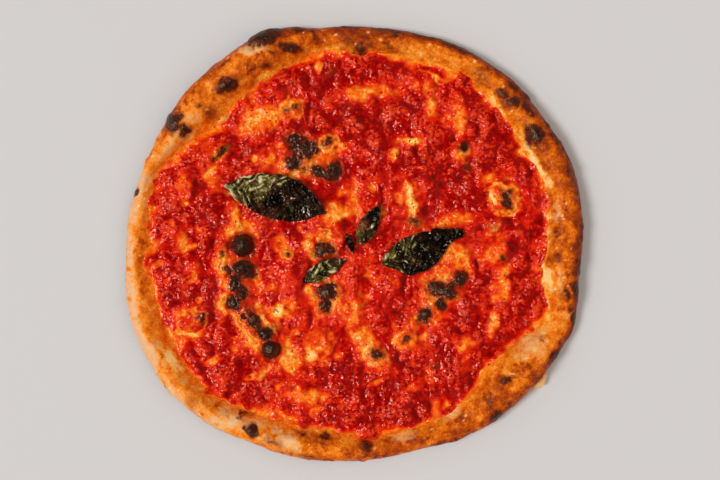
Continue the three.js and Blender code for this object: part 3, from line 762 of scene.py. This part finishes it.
ring, angle, side, dome_faces = pillow_grid(BUBBLE_STEPS)
bubbles = np.concatenate([bubble_dome(ring, angle, side, bubble) for bubble in BUBBLES])
bubble_faces = repeated(dome_faces, len(BUBBLES), len(ring))
plain = np.zeros(len(bubbles))
charring = BUBBLE_BURNT[0] + BUBBLE_BURNT[1] * ease(1.0, 0.86, ring)
balls = make_piece("crust_bubbles", bubbles, bubble_faces, stain=plain, butter=plain, pale=plain, bake=plain,
                   burnt=np.tile(charring, len(BUBBLES)))
balls.data.materials.append(wheat_crust)
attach(balls, "root")

# The sauce: crushed tomatoes with oil and salt, spread from the middle with a ladle and baked on the
# dough. It is deep and wet in the hollows, a thin orange film over the swells, and gone from blisters.
SAUCE_DEPTH = 2.1  # where it lies full
SAUCE_STEPS = 155  # grid steps from its middle to its edge
SAUCE_TUCK = 2.0  # its edge runs out this far up the rim
SAUCE_BED = 2.5  # height of its hidden underside, inside the bread
SAUCE_SINK = 0.9  # how far it dips into the bread where the dough is bare
OUTLINE_SINK = 0.8  # and along its outline
THIN_PEAK = 1.12  # a blister thins it this many times as much as its table says
THIN_SOFT, THIN_REACH = 1.0, 2.2  # share of a blister over which it thins, and how far that is shaken
RING_REACH = 2.4  # how far the rings of sunken blisters are shaken
RING_PLACE, RING_WIDTH = 0.9, 0.48  # middle and half-width of a ring, as shares of its blister
SPREAD_MIDDLE, SPREAD_RIM = 0.85, 0.27  # how full it lies in the middle, and how much fuller by the rim
SPREAD_SIDES = 0.1  # how much less full in the west, and in the south-east
FILM_CHANGES = ((0.3, 18, 31), (0.26, 8, 32))  # slow changes of its depth
FILM_GRAIN = ((0.14, 3.6, 33), (0.06, 1.8, 39))  # and quick ones
GAP_SHARE, GAP_CALM = 0.55, 0.4  # share of it that is lost in gaps, and how much less so in the north-east


def film(x, y):
    """How deep the sauce lies, from 0 on bare dough to 1: deepest by the rim, with slow and quick
    changes and slanting gaps, less on blisters, on ridges and on the rings of sunken blisters."""
    thin = np.minimum(1, THIN_PEAK * spot_field(x, y, BLISTERS, 6, THIN_SOFT, THIN_REACH))
    ragged_x, ragged_y = warped(x, y, RING_REACH)
    for spot in RINGS:
        line = ease(RING_WIDTH, 0, np.abs(ellipse(ragged_x, ragged_y, spot) - RING_PLACE))
        thin = np.maximum(thin, spot[5] * line)
    spread = SPREAD_MIDDLE + SPREAD_RIM * ease(30, 125, np.hypot(x, y))
    spread = spread - SPREAD_SIDES * (ease(0, 80, -x) + ease(20, 90, 0.8 * x - 0.6 * y))
    north_east = ease(10, 90, 0.6 * x + 0.8 * y)
    gaps = ease(0.25, 0.75, cloud(x + 0.5 * y, y - 0.5 * x, 0, 8, 49))
    depth = spread + clouds(x, y, 0, *FILM_CHANGES)
    depth = depth * (1 - (GAP_SHARE - GAP_CALM * north_east) * gaps)
    return np.clip(depth * (1 - thin) + clouds(x, y, 0, *FILM_GRAIN) * ease(1.0, 0.75, thin), 0, 1)


TOMATO_BEND = 5.0  # how far the outlines of the tomato's lumps are bent
TOMATO_LUMPS = ((2.8, 13, 45), (1.3, 7.5, 46))  # height, size and seed of large and small lumps
TOMATO_CREASE = 0.1  # the higher, the softer the creases between them
TOMATO_SINK = 1.3  # taken off their height, so that the creases sink into the film


def tomato_lumps(x, y):
    """Height of the rolling lumps of tomato: the size of two clouds, rounded on top, with soft creases."""
    bent_x = x + clouds(x, y, 0, (TOMATO_BEND, 16, 43))
    bent_y = y + clouds(x, y, 0, (TOMATO_BEND, 16, 44))
    total = -TOMATO_SINK
    for height, size, seed in TOMATO_LUMPS:
        total = total + height * np.hypot(cloud(bent_x, bent_y, 0, size, seed), TOMATO_CREASE)
    return total


EDGE_RAGGED = ((0.03, 13, 41), (0.02, 5, 42))  # of the sauce's edge, as shares of its radius
EDGE_FADE = (1.0, 0.94)  # shares of its radius between which it runs out
EDGE_WEST = 0.018  # and how much sooner in the west
EDGE_TINT = 0.16  # tint that is left on the bread past its edge
GRAINS = ((0.7, 4.2, 47), (0.35, 2.4, 48))  # height, size and seed of grains and shreds
SLOPE_REACH = 1.5  # a slope is measured between places this far to either side
PULP_LUMPS, PAINTED_SLOPE_LIGHT, PULP_SHREDS = 0.35, 0.65, 1.4  # weights of each in how light the pulp is; the slopes' weight paints light on slopes that face west, towards the key light, and shade on slopes that face east
PAINTED_BREAD_SLOPE_LIGHT = 0.5  # weight of the bread's slopes among these, also painted light and shade
PULP_MIDDLE = 0.5  # taken off, so that middling pulp is near 0


def sauce_surface(x, y):
    """The sauce's height, its tint and how light it is at a place. Its height is a film over the bread with
    lumps of tomato and grains (the size of a cloud, so creased between), thin up the rim. Its tint is its
    depth, and some more along its edge. How light it is: high on lumps and grains, with painted light on
    slopes that face west, towards the key light, and painted shade on slopes that face east."""
    angle = np.arctan2(y, x)
    ring = np.hypot(x, y) / (around(SAUCE_RADII, angle) + SAUCE_TUCK)
    westward = ease(0.3, 0.9, -np.cos(angle))
    fade = ease(*EDGE_FADE, ring + clouds(x, y, 0, *EDGE_RAGGED) + EDGE_WEST * westward)
    depth = film(x, y) * fade
    lumps = tomato_lumps(x, y)
    # Painted light and shade: the pulp is lighter where the tomato and the bread rise eastwards, on slopes
    # that face the key light, and darker on slopes that face away from it.
    east, west = x + SLOPE_REACH, x - SLOPE_REACH
    slope_light = tomato_lumps(east, y) - tomato_lumps(west, y)
    slope_light = slope_light + PAINTED_BREAD_SLOPE_LIGHT * (dough_rise(east, y) - dough_rise(west, y))
    grains = sum(height * np.abs(cloud(x, y, 0, size, seed)) for height, size, seed in GRAINS)
    wet = ease(0.05, 0.6, depth)
    flat = ease(1.0, 0.9, ring)
    skin = ease(0.0, 0.15, depth) * (0.5 + 0.5 * wet)
    height = SAUCE_DEPTH * depth + (lumps * wet + grains * skin) * flat - SAUCE_SINK * ease(0.06, 0.0, depth)
    pulp = PULP_LUMPS * lumps + PAINTED_SLOPE_LIGHT * slope_light + PULP_SHREDS * grains - PULP_MIDDLE
    return bread_top(x, y) + height, depth + EDGE_TINT * (1 - fade), pulp


ring, angle, quads, border = disc_grid(SAUCE_STEPS)
reach = around(SAUCE_RADII, angle) + SAUCE_TUCK
x, y = ring * reach * np.cos(angle), ring * reach * np.sin(angle)
z, tint, pulp = sauce_surface(x, y)
sauce_top = np.stack([x, y, z - OUTLINE_SINK * ease(0.985, 1.0, ring)], 1)
low_edge = sauce_top[border] * (1, 1, 0) + (0, 0, SAUCE_BED)
sauce_points, sauce_faces = closed_below(sauce_top, quads, border, [low_edge], (0, 0, SAUCE_BED))
hidden = np.zeros(len(low_edge) + 1)
burnt = spot_field(x, y, BLISTERS, 7, BURNT_SOFT, BURNT_REACH)
sauce = make_piece("sauce_layer", sauce_points, sauce_faces,
                   film=np.concatenate([tint, hidden]), pulp=np.concatenate([pulp, hidden]),
                   burnt=np.concatenate([burnt, hidden]))

# Crushed tomato sauce, baked on: wet pulp that is a dark red where it is deep, with painted shade in its
# creases and on slopes that face away from the key light, lighter on its lumps and with painted light on
# slopes that face it, and turns orange and yellow where a thin oily film lets the dough show through.
PULP_GRAIN = 0.005  # metres, width of the largest shreds of pulp
PULP_CLOUD = 0.004  # of the patches of lighter pulp
PULP_SEED = 0.0021  # of the finest flecks
PULP_POOL = 0.011  # of the wetter places
PULP_RELIEF = 0.0036  # height of the shreds
tomato, tree = new_material("crushed_tomato_sauce")
where = add(tree, "TexCoord").outputs["Object"]
fields = {name: add(tree, "Attribute", attribute_name=name).outputs["Fac"]
          for name in ("film", "pulp", "burnt")}
shreds = add(tree, "TexNoise", {"Vector": where, "Scale": 1 / PULP_GRAIN})
patches = add(tree, "TexNoise", {"Vector": where, "Scale": 1 / PULP_CLOUD, "Detail": 3.0, "Roughness": 0.6})
mottle = add(tree, "Math", {0: shreds, 1: patches}, operation="ADD")
stir = add(tree, "MapRange", {0: mottle, 1: 0.6, 2: 1.4, 3: -0.17, 4: 0.17})
seeds = add(tree, "TexNoise", {"Vector": where, "Scale": 1 / PULP_SEED, "Detail": 1.0})
flecked = add(tree, "MapRange", {0: seeds, 1: 0.3, 2: 0.7, 3: -0.13, 4: 0.13})
stirred = add(tree, "Math", {0: flecked, 1: 0.8, 2: stir}, operation="MULTIPLY_ADD")
thickness = add(tree, "Math", {0: fields["film"], 1: stirred}, operation="ADD")
shade = add(tree, "ValToRGB", {0: thickness}, stops=(
    (0.0, "#FDB858"), (1.0, "#A80000"), (0.14, "#F8861E"), (0.32, "#F2580A"), (0.5, "#DC1A02"),
    (0.72, "#C40200")))
# Painted light and shade: crests and slopes that face the key light get lighter flesh and more flecks,
# creases and slopes turned away get dark red.
stirred_pulp = add(tree, "Math", {0: stir, 1: 3.1, 2: fields["pulp"]}, operation="MULTIPLY_ADD")
stringy = add(tree, "MapRange", {0: fields["pulp"], 1: -0.6, 2: 0.4, 3: 0.14, 4: 1.0})
coarse = add(tree, "Math", {0: flecked, 1: stringy}, operation="MULTIPLY")
crest = add(tree, "Math", {0: coarse, 1: 10.0, 2: stirred_pulp}, operation="MULTIPLY_ADD")
full = add(tree, "MapRange", {0: fields["film"], 1: 0.2, 2: 0.7})
deep_and_painted_shade = add(tree, "MapRange", {0: crest, 1: 0.15, 2: -1.0, 3: 0.0, 4: 0.95})
sunk = add(tree, "Math", {0: deep_and_painted_shade, 1: full}, operation="MULTIPLY")
dark = add(tree, "Mix", {0: sunk, 6: shade, 7: linear("#6C0000")}, data_type="RGBA")
fleshy_and_painted_light = add(tree, "MapRange", {0: crest, 1: 0.1, 2: 1.3, 3: 0.0, 4: 0.62})
lit = add(tree, "Math", {0: fleshy_and_painted_light, 1: full}, operation="MULTIPLY")
flesh = add(tree, "Mix", {0: lit, 6: dark, 7: linear("#F04416")}, data_type="RGBA")
pores = skin_noise(tree, where)[0]
pulp, coal, _ = charred(tree, where, flesh, fields["burnt"], pores)
grain = add(tree, "Bump", {"Height": shreds, "Strength": stringy, "Distance": PULP_RELIEF})
pools = add(tree, "TexNoise", {"Vector": where, "Scale": 1 / PULP_POOL})
wet = add(tree, "MapRange", {0: pools, 1: 0.35, 2: 0.6, 3: 0.27, 4: 0.14})
gloss = add(tree, "Mix", {0: coal, 2: wet, 3: 0.3})
shader = add(tree, "BsdfPrincipled", {
    "Base Color": pulp, "Roughness": gloss, "IOR": 1.4, "Specular IOR Level": 0.86,
    "Specular Tint": linear("#FFC0AC"), "Normal": grain})
add(tree, "OutputMaterial", {"Surface": shader})
sauce.data.materials.append(tomato)
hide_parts("sauce")
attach(sauce, "root")

# Dried oregano, rubbed over the sauce before baking: flakes of dark leaf, about a millimetre long, most
# of them seen where the sauce is thin. One piece for them all.
FLAKE_DRAWS = 1500  # places tried
FLAKE_FIELD = 136  # radius of the round field they are drawn in
FLAKE_ODDS = (0.12, 0.35)  # share of places kept on deep sauce, and how much more on thin sauce
FLAKE_SPIN = 7  # a flake's own turn, in turns of its place round the pizza
FLAKE_LENGTH = (0.35, 0.85)  # half-length
FLAKE_SHAPE = (0.55, 0.3)  # half-width and half-thickness, as shares of the half-length
FLAKE_TILT = 0.6  # how far one end is lifted, in half-thicknesses
FLAKE_LIFT = 0.1  # middle over the surface
draws = np.random.default_rng(71)
flake_radius = FLAKE_FIELD * np.sqrt(draws.uniform(0, 1, FLAKE_DRAWS))
flake_turn = draws.uniform(0, 2 * np.pi, FLAKE_DRAWS)
flake_x, flake_y = flake_radius * np.cos(flake_turn), flake_radius * np.sin(flake_turn)
over, tint, _ = sauce_surface(flake_x, flake_y)
kept = draws.uniform(0, 1, FLAKE_DRAWS) < FLAKE_ODDS[0] + FLAKE_ODDS[1] * ease(0.7, 0.25, tint)
flake_x, flake_y, flake_turn = flake_x[kept], flake_y[kept], FLAKE_SPIN * flake_turn[kept]
flake_z = np.maximum(over[kept], bread_top(flake_x, flake_y)) + FLAKE_LIFT
size = draws.uniform(*FLAKE_LENGTH, len(flake_x))
ring, angle, side, flake_faces = pillow_grid(1)


def flake_points(ring, angle, side):
    """Every flake's points: an eight-sided outline, thick in its middle, turned and set on its place."""
    along = size[:, None] * ring * np.cos(angle)
    across = size[:, None] * FLAKE_SHAPE[0] * ring * np.sin(angle)
    up = size[:, None] * FLAKE_SHAPE[1] * (side * (1 - ring) + FLAKE_TILT * ring * np.cos(angle))
    x, y = turned(flake_x[:, None], flake_y[:, None], along, across, flake_turn[:, None])
    return np.stack([x, y, flake_z[:, None] + up], -1).reshape(-1, 3)


oregano = make_piece("oregano_flakes", flake_points(ring, angle, side),
                     repeated(flake_faces, len(flake_x), len(ring)))
# Dried oregano, baked: a dull dark brown, nearly black against the sauce.
herb, tree = new_material("dried_oregano")
shader = add(tree, "BsdfPrincipled", {
    "Base Color": linear("#2E140A"), "Roughness": 0.6, "Specular IOR Level": 0.2})
add(tree, "OutputMaterial", {"Surface": shader})
oregano.data.materials.append(herb)
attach(oregano, "root")

# The basil: five fresh leaves laid on before baking, which wilted, wrinkled and half burnt in the
# oven. Each is a thin sheet that has shrunk into sharp crumples, ragged along its edge.
LEAF_THICKNESS = 0.7
LEAF_GAP = 0.6  # a leaf's lowest points over the sauce
LEAF_LEVEL = 0.8  # its sheet over the middling heights of the sauce under it
LEAF_FULL_WIDTH = 12  # half-width from which a leaf has crumples of full height
LEAF_BEND = 2.6  # how far its veins stray along it
RIB_HEIGHT, LARGE_HEIGHT, SMALL_HEIGHT = 0.35, 0.7, 0.15  # of side veins, large and small crumples
MIDRIB_DEPTH, MIDRIB_WIDTH = 0.9, 0.14  # its half-width as a share of the leaf's
VEIN_SPACING = 6.0  # between side veins
VEIN_SLANT = 0.8  # how far a fine wrinkle runs on towards the tip for each step away from the midrib
VEIN_WAVER = 3.2  # how far the fine wrinkles stray from the veins
VEIN_STRETCH = 2.4  # how many times longer than wide the fine wrinkles along the veins are
# Name, x, y, length, turn in degrees, curl, green (0 is black), the share of its length at which it
# turns black, how brown it is, and how far its outline lies off its axis on the upper and on the lower
# side, at equal steps from its stalk to its tip.
LEAVES = (
    ("basil_leaf_west", -55, 32, 74, -15, 3.2, 0.93, 0.47, 0.22,
     (1.2, 10, 15.5, 18.5, 17, 10.5, 1), (1.2, 8, 12.4, 13.6, 13, 7.5, 1)),
    ("basil_leaf_east", 48, -2, 61, 21, 3.0, 0.68, 0.4, 0.1,
     (0.8, 7.2, 10, 11.4, 11, 9.8, 9, 6.2, 2.4), (0.8, 6.6, 15, 15.4, 14.8, 12, 6.8, 3.2, 1.5)),
    ("basil_leaf_north", 11, 14, 33, 62, 1.6, 0.68, 0.6, 1.2,
     (0.6, 5, 6.8, 7.2, 6, 4, 0.5), (0.6, 4.4, 5.6, 5.4, 4.6, 2.6, 0.5)),
    ("basil_leaf_south", -20.5, -18, 34, 28, 1.6, 0.7, 0.9, 0.2,
     (0.6, 5, 7, 7.6, 6.6, 4.4, 0.5), (0.6, 3.4, 4.6, 4.8, 4.2, 2.6, 0.5)),
    ("basil_leaf_tiny", -3, 1.5, 15, -70, 0.8, 0.4, 0.5, 0.4,
     (0.3, 1.8, 2.7, 3.2, 2.8, 1.8, 0.3), (0.3, 1.4, 2, 2.3, 2, 1.3, 0.3)),
)


def leaf_sheet(share, side, leaf, seed):
    """A leaf's upper face, its crumples, and each point's place off the slanting veins and along them
    in metres. It is a sheet between two ragged outlines, curled up at its sides, with a sunken midrib,
    low side veins and sharp crests (1 - 2 times the size of a cloud), kept over the sauce."""
    x, y, length, turn, curl = leaf[1:6]
    upper, lower = leaf[9:]
    steps = np.linspace(0, 1, len(upper))
    half = np.where(side > 0, np.interp(share, steps, upper), np.interp(share, steps, lower))
    along = (share - 0.5) * length
    size = np.clip(max(upper) / LEAF_FULL_WIDTH, 0.3, 1)
    jag = size * clouds(along, 9 * np.sign(side), 0, (0.8, 4.5, seed), (0.5, 1.8, seed + 4))
    across = side * np.maximum(half + jag * np.abs(side), 0.3)
    px, py = turned(x, y, along, across, np.radians(turn))
    ground, _, _ = sauce_surface(px, py)
    level = LEAF_LEVEL + 0.5 * (np.percentile(ground, 85) + cloud(px, py, 0, 30, seed) + np.median(ground))
    bent = along + clouds(px, py, 0, (LEAF_BEND, 8, seed + 3))
    ribs = np.sin(2 * np.pi * (bent + 0.75 * np.abs(across)) / VEIN_SPACING)
    large = 1 - 2 * np.abs(cloud(bent + 0.6 * across, across - 0.3 * bent, 0, 7.5, seed + 1))
    slant_a, slant_b = bent + 0.9 * across, 0.45 * (across - 0.9 * bent)
    small = 2 * ease(0.0, 0.8, cloud(slant_a, slant_b, 0, 2.4, seed + 2)) - 0.4
    midrib = MIDRIB_DEPTH * ease(MIDRIB_WIDTH, 0, np.abs(side))
    crest = RIB_HEIGHT * ribs + LARGE_HEIGHT * large + SMALL_HEIGHT * small - midrib - 0.6
    crumple = clouds(px, py, 0, (1.3, 9, seed)) * size
    lift = curl * (0.6 * side ** 2 * np.sin(np.pi * share) + 0.25)
    frill = 0.3 * curl * np.abs(side) ** 3 * np.sin(along / 2.6 + 2 * side)
    pz = level + LEAF_THICKNESS + np.maximum(0, lift + crumple + frill) + (0.4 + 1.7 * size) * crest
    pz = np.maximum(pz, ground + LEAF_GAP + LEAF_THICKNESS)
    vein = along - VEIN_SLANT * np.abs(across) + clouds(px, py, 0, (VEIN_WAVER, 6, seed + 4))
    return np.stack([px, py, pz], -1), crest, vein / 1000, across / VEIN_STRETCH / 1000


def leaf_mesh(leaf, seed):
    """Two faces split alike, a thickness apart, closed by a wall along the edge, and fields of each
    point: how light and green it is (green near the stalk and lighter along its lower edge there, black past
    the burnt line, with painted light on the crests and painted shade in the hollows) and its place off the
    veins and along them."""
    length, green, black, upper = leaf[3], leaf[6], leaf[7], leaf[9]
    columns = int(np.clip(length * 2.2, 40, 160))
    rows = int(np.clip(max(upper) * 4.4, 16, 80))
    share, side = np.meshgrid(np.linspace(0, 1, columns + 1), np.linspace(-1, 1, rows + 1), indexing="ij")
    top, crest, vein, reach = leaf_sheet(share, side, leaf, seed)
    under = top - (0, 0, LEAF_THICKNESS)
    quads, border = grid_faces(share.shape)
    ahead = np.roll(border, -1)
    wall = np.stack([border + share.size, ahead + share.size, ahead, border], 1)
    faces = np.concatenate([quads, quads[:, ::-1] + share.size, wall]).tolist()
    points = np.concatenate([top.reshape(-1, 3), under.reshape(-1, 3)])
    line = share - 0.14 * side + clouds(top[..., 0], top[..., 1], 0, (0.12, 8, seed + 2))
    fresh = green * ease(black + 0.12, black - 0.12, line)
    # Painted light and shade: lighter on the crumples' crests and darker in their hollows.
    painted_crest_light = 0.35 * ease(-1.2, 0.4, crest) + 0.65 * ease(0.2, 0.9, crest)
    rim = 0.4 * ease(0.88, 1.0, -side) * ease(0.55, 0.4, share)
    olive = fresh * (0.77 + 0.55 * painted_crest_light + rim) - 0.19 + 0.06 * painted_crest_light
    return points, faces, [np.tile(value.ravel(), 2) for value in (olive, vein, reach)]


# Scorched basil, oiled: olive green near the stalk, black towards the tip, lightest on its crests and
# wrinkles as painted light and darkest in its hollows as painted shade, with a wet gloss on every crumple.
LEAF_PUCKER = 0.0046  # metres, width of the puckers between the finest veins
LEAF_WRINKLE = 0.003  # of the finest wrinkles
LEAF_BLOTCH = 0.006  # of the blotches of browner leaf
LEAF_POOL = 0.007  # of the places where oil lies on it
LEAF_PATCH = 0.009  # of the brown patches
LEAF_RELIEF = 0.003  # height of the wrinkles
basil, tree = new_material("oiled_scorched_basil")
where = add(tree, "TexCoord").outputs["Object"]
olive, brown, vein, reach = (add(tree, "Attribute", attribute_name=name).outputs["Fac"]
                             for name in ("olive", "brown", "vein", "reach"))
slanted = add(tree, "CombineXYZ", {0: vein, 1: reach})
cells = add(tree, "TexVoronoi", {"Vector": slanted, "Scale": 1 / LEAF_PUCKER}, voronoi_dimensions="2D")
puckers = add(tree, "MapRange", {0: cells, 1: 0.0, 2: 0.7, 3: 1.0, 4: 0.0})
wrinkles = add(tree, "TexNoise", {"Vector": slanted, "Scale": 1 / LEAF_WRINKLE, "Detail": 0.8})
blotches = add(tree, "TexNoise", {"Vector": where, "Scale": 1 / LEAF_BLOTCH, "Detail": 3.0, "Roughness": 0.6})
mottle = add(tree, "Math", {0: blotches, 1: wrinkles}, operation="ADD")
stir = add(tree, "MapRange", {0: mottle, 1: 0.65, 2: 1.35, 3: -0.3, 4: 0.14})
clumps = add(tree, "MapRange", {0: blotches, 1: 0.4, 2: 0.62, 3: 0.1, 4: 1.2})
# Painted light: the leaf is lighter on the crests of its fine wrinkles, in clumps.
painted_wrinkle_light = add(tree, "MapRange", {0: wrinkles, 1: 0.4, 2: 0.64, 3: -0.2, 4: 0.5})
mottle_and_painted_light = add(tree, "Math", {0: painted_wrinkle_light, 1: clumps, 2: stir}, operation="MULTIPLY_ADD")
uneven = add(tree, "Math", {0: mottle_and_painted_light, 1: olive}, operation="ADD")
flesh = add(tree, "ValToRGB", {0: uneven}, stops=(
    (0.0, "#060302"), (1.0, "#CCC094"), (0.25, "#1C1006"), (0.5, "#403A12"), (0.74, "#746C30")))
patches = add(tree, "TexNoise", {"Vector": where, "Scale": 1 / LEAF_PATCH, "Detail": 1.0})
patched = add(tree, "MapRange", {0: patches, 1: 0.45, 2: 0.62})
browned = add(tree, "Math", {0: patched, 1: brown}, operation="MULTIPLY")
faded = add(tree, "Math", {0: puckers, 1: browned}, operation="MULTIPLY")
leafy = add(tree, "Mix", {0: faded, 6: flesh, 7: linear("#8A4A30")}, data_type="RGBA")
folds = add(tree, "Math", {0: puckers, 1: 0.25, 2: wrinkles}, operation="MULTIPLY_ADD")
relief = add(tree, "Bump", {"Height": folds, "Strength": 1.0, "Distance": LEAF_RELIEF})
pools = add(tree, "TexNoise", {"Vector": where, "Scale": 1 / LEAF_POOL})
oiled = add(tree, "MapRange", {0: pools, 1: 0.4, 2: 0.58, 3: 0.24, 4: 0.09})
shader = add(tree, "BsdfPrincipled", {
    "Base Color": leafy, "Roughness": oiled, "IOR": 1.45, "Specular IOR Level": 0.62,
    "Specular Tint": linear("#FFE8CC"), "Normal": relief})
add(tree, "OutputMaterial", {"Surface": shader})
for number, leaf in enumerate(LEAVES):
    points, faces, (olive, vein, reach) = leaf_mesh(leaf, 50 + 5 * number)
    brown = np.full(len(points), leaf[8])
    piece = make_piece(leaf[0] + "_dressed", points, faces, olive=olive, brown=brown, vein=vein, reach=reach)
    piece.data.materials.append(basil)
    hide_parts(leaf[0])
    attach(piece, "root")

# The stage: a plain pale floor, a key light from the left, a warm bounce from the right, a wide soft
# light from above, a dim room and a camera that looks straight down.
FLOOR_SIZE = 4.0  # metres
VIEW_WIDTH = 0.504  # across the picture, at the height below
VIEW_HEIGHT = 0.006
VIEW_CENTRE = (0.0042, 0.0028)
LENS, SENSOR = 60.0, 36.0
floor_mesh = bpy.data.meshes.new("floor")
half = FLOOR_SIZE / 2
floor_corners = [(-half, -half, 0), (half, -half, 0), (half, half, 0), (-half, half, 0)]
floor_mesh.from_pydata(floor_corners, [], [(0, 1, 2, 3)])
stage_floor = bpy.data.objects.new("floor", floor_mesh)
bpy.context.collection.objects.link(stage_floor)
pale_floor, tree = new_material("pale_floor")
shader = add(tree, "BsdfPrincipled", {"Base Color": linear("#C7C8C9"), "Roughness": 0.7})
add(tree, "OutputMaterial", {"Surface": shader})
floor_mesh.materials.append(pale_floor)

# Name, strength, width in degrees, lean to the right and turn about +Z in degrees, colour, and whether
# it shows as glints.
LIGHTS = (
    ("key", 2.1, 20, -40, 12, "#FFFFFF", True),
    ("bounce", 0.75, 60, 50, 0, "#FFCA96", False),
    ("soft", 1.28, 140, 0, 0, "#FFFFFF", False),
)
for name, strength, width, lean, turn, colour, glints in LIGHTS:
    lamp = bpy.data.objects.new(name, bpy.data.lights.new(name, "SUN"))
    lamp.data.energy = strength
    lamp.data.angle = np.radians(width)
    lamp.data.color = linear(colour)[:3]
    lamp.rotation_euler = (0, np.radians(lean), np.radians(turn))
    lamp.visible_glossy = glints
    bpy.context.collection.objects.link(lamp)
# The room is nearly dark overhead and lighter towards its walls, which wet things mirror.
world = bpy.data.worlds.new("room")
world.use_nodes = True
tree = world.node_tree
tree.nodes.clear()
upward = add(tree, "SeparateXYZ", {0: add(tree, "TexCoord").outputs["Generated"]})
walls = add(tree, "MapRange", {0: upward.outputs["Z"], 1: 0.75, 2: 0.4, 3: 0.02, 4: 0.16})
room = add(tree, "Background", {"Color": (1, 1, 1, 1), "Strength": walls})
add(tree, "OutputWorld", {"Surface": room})
bpy.context.scene.world = world
bpy.context.scene.view_settings.view_transform = "Standard"

camera = bpy.data.objects.new("camera", bpy.data.cameras.new("camera"))
camera.data.lens, camera.data.sensor_width = LENS, SENSOR
camera.location = (*VIEW_CENTRE, VIEW_WIDTH * LENS / SENSOR + VIEW_HEIGHT)
bpy.context.collection.objects.link(camera)
bpy.context.scene.camera = camera
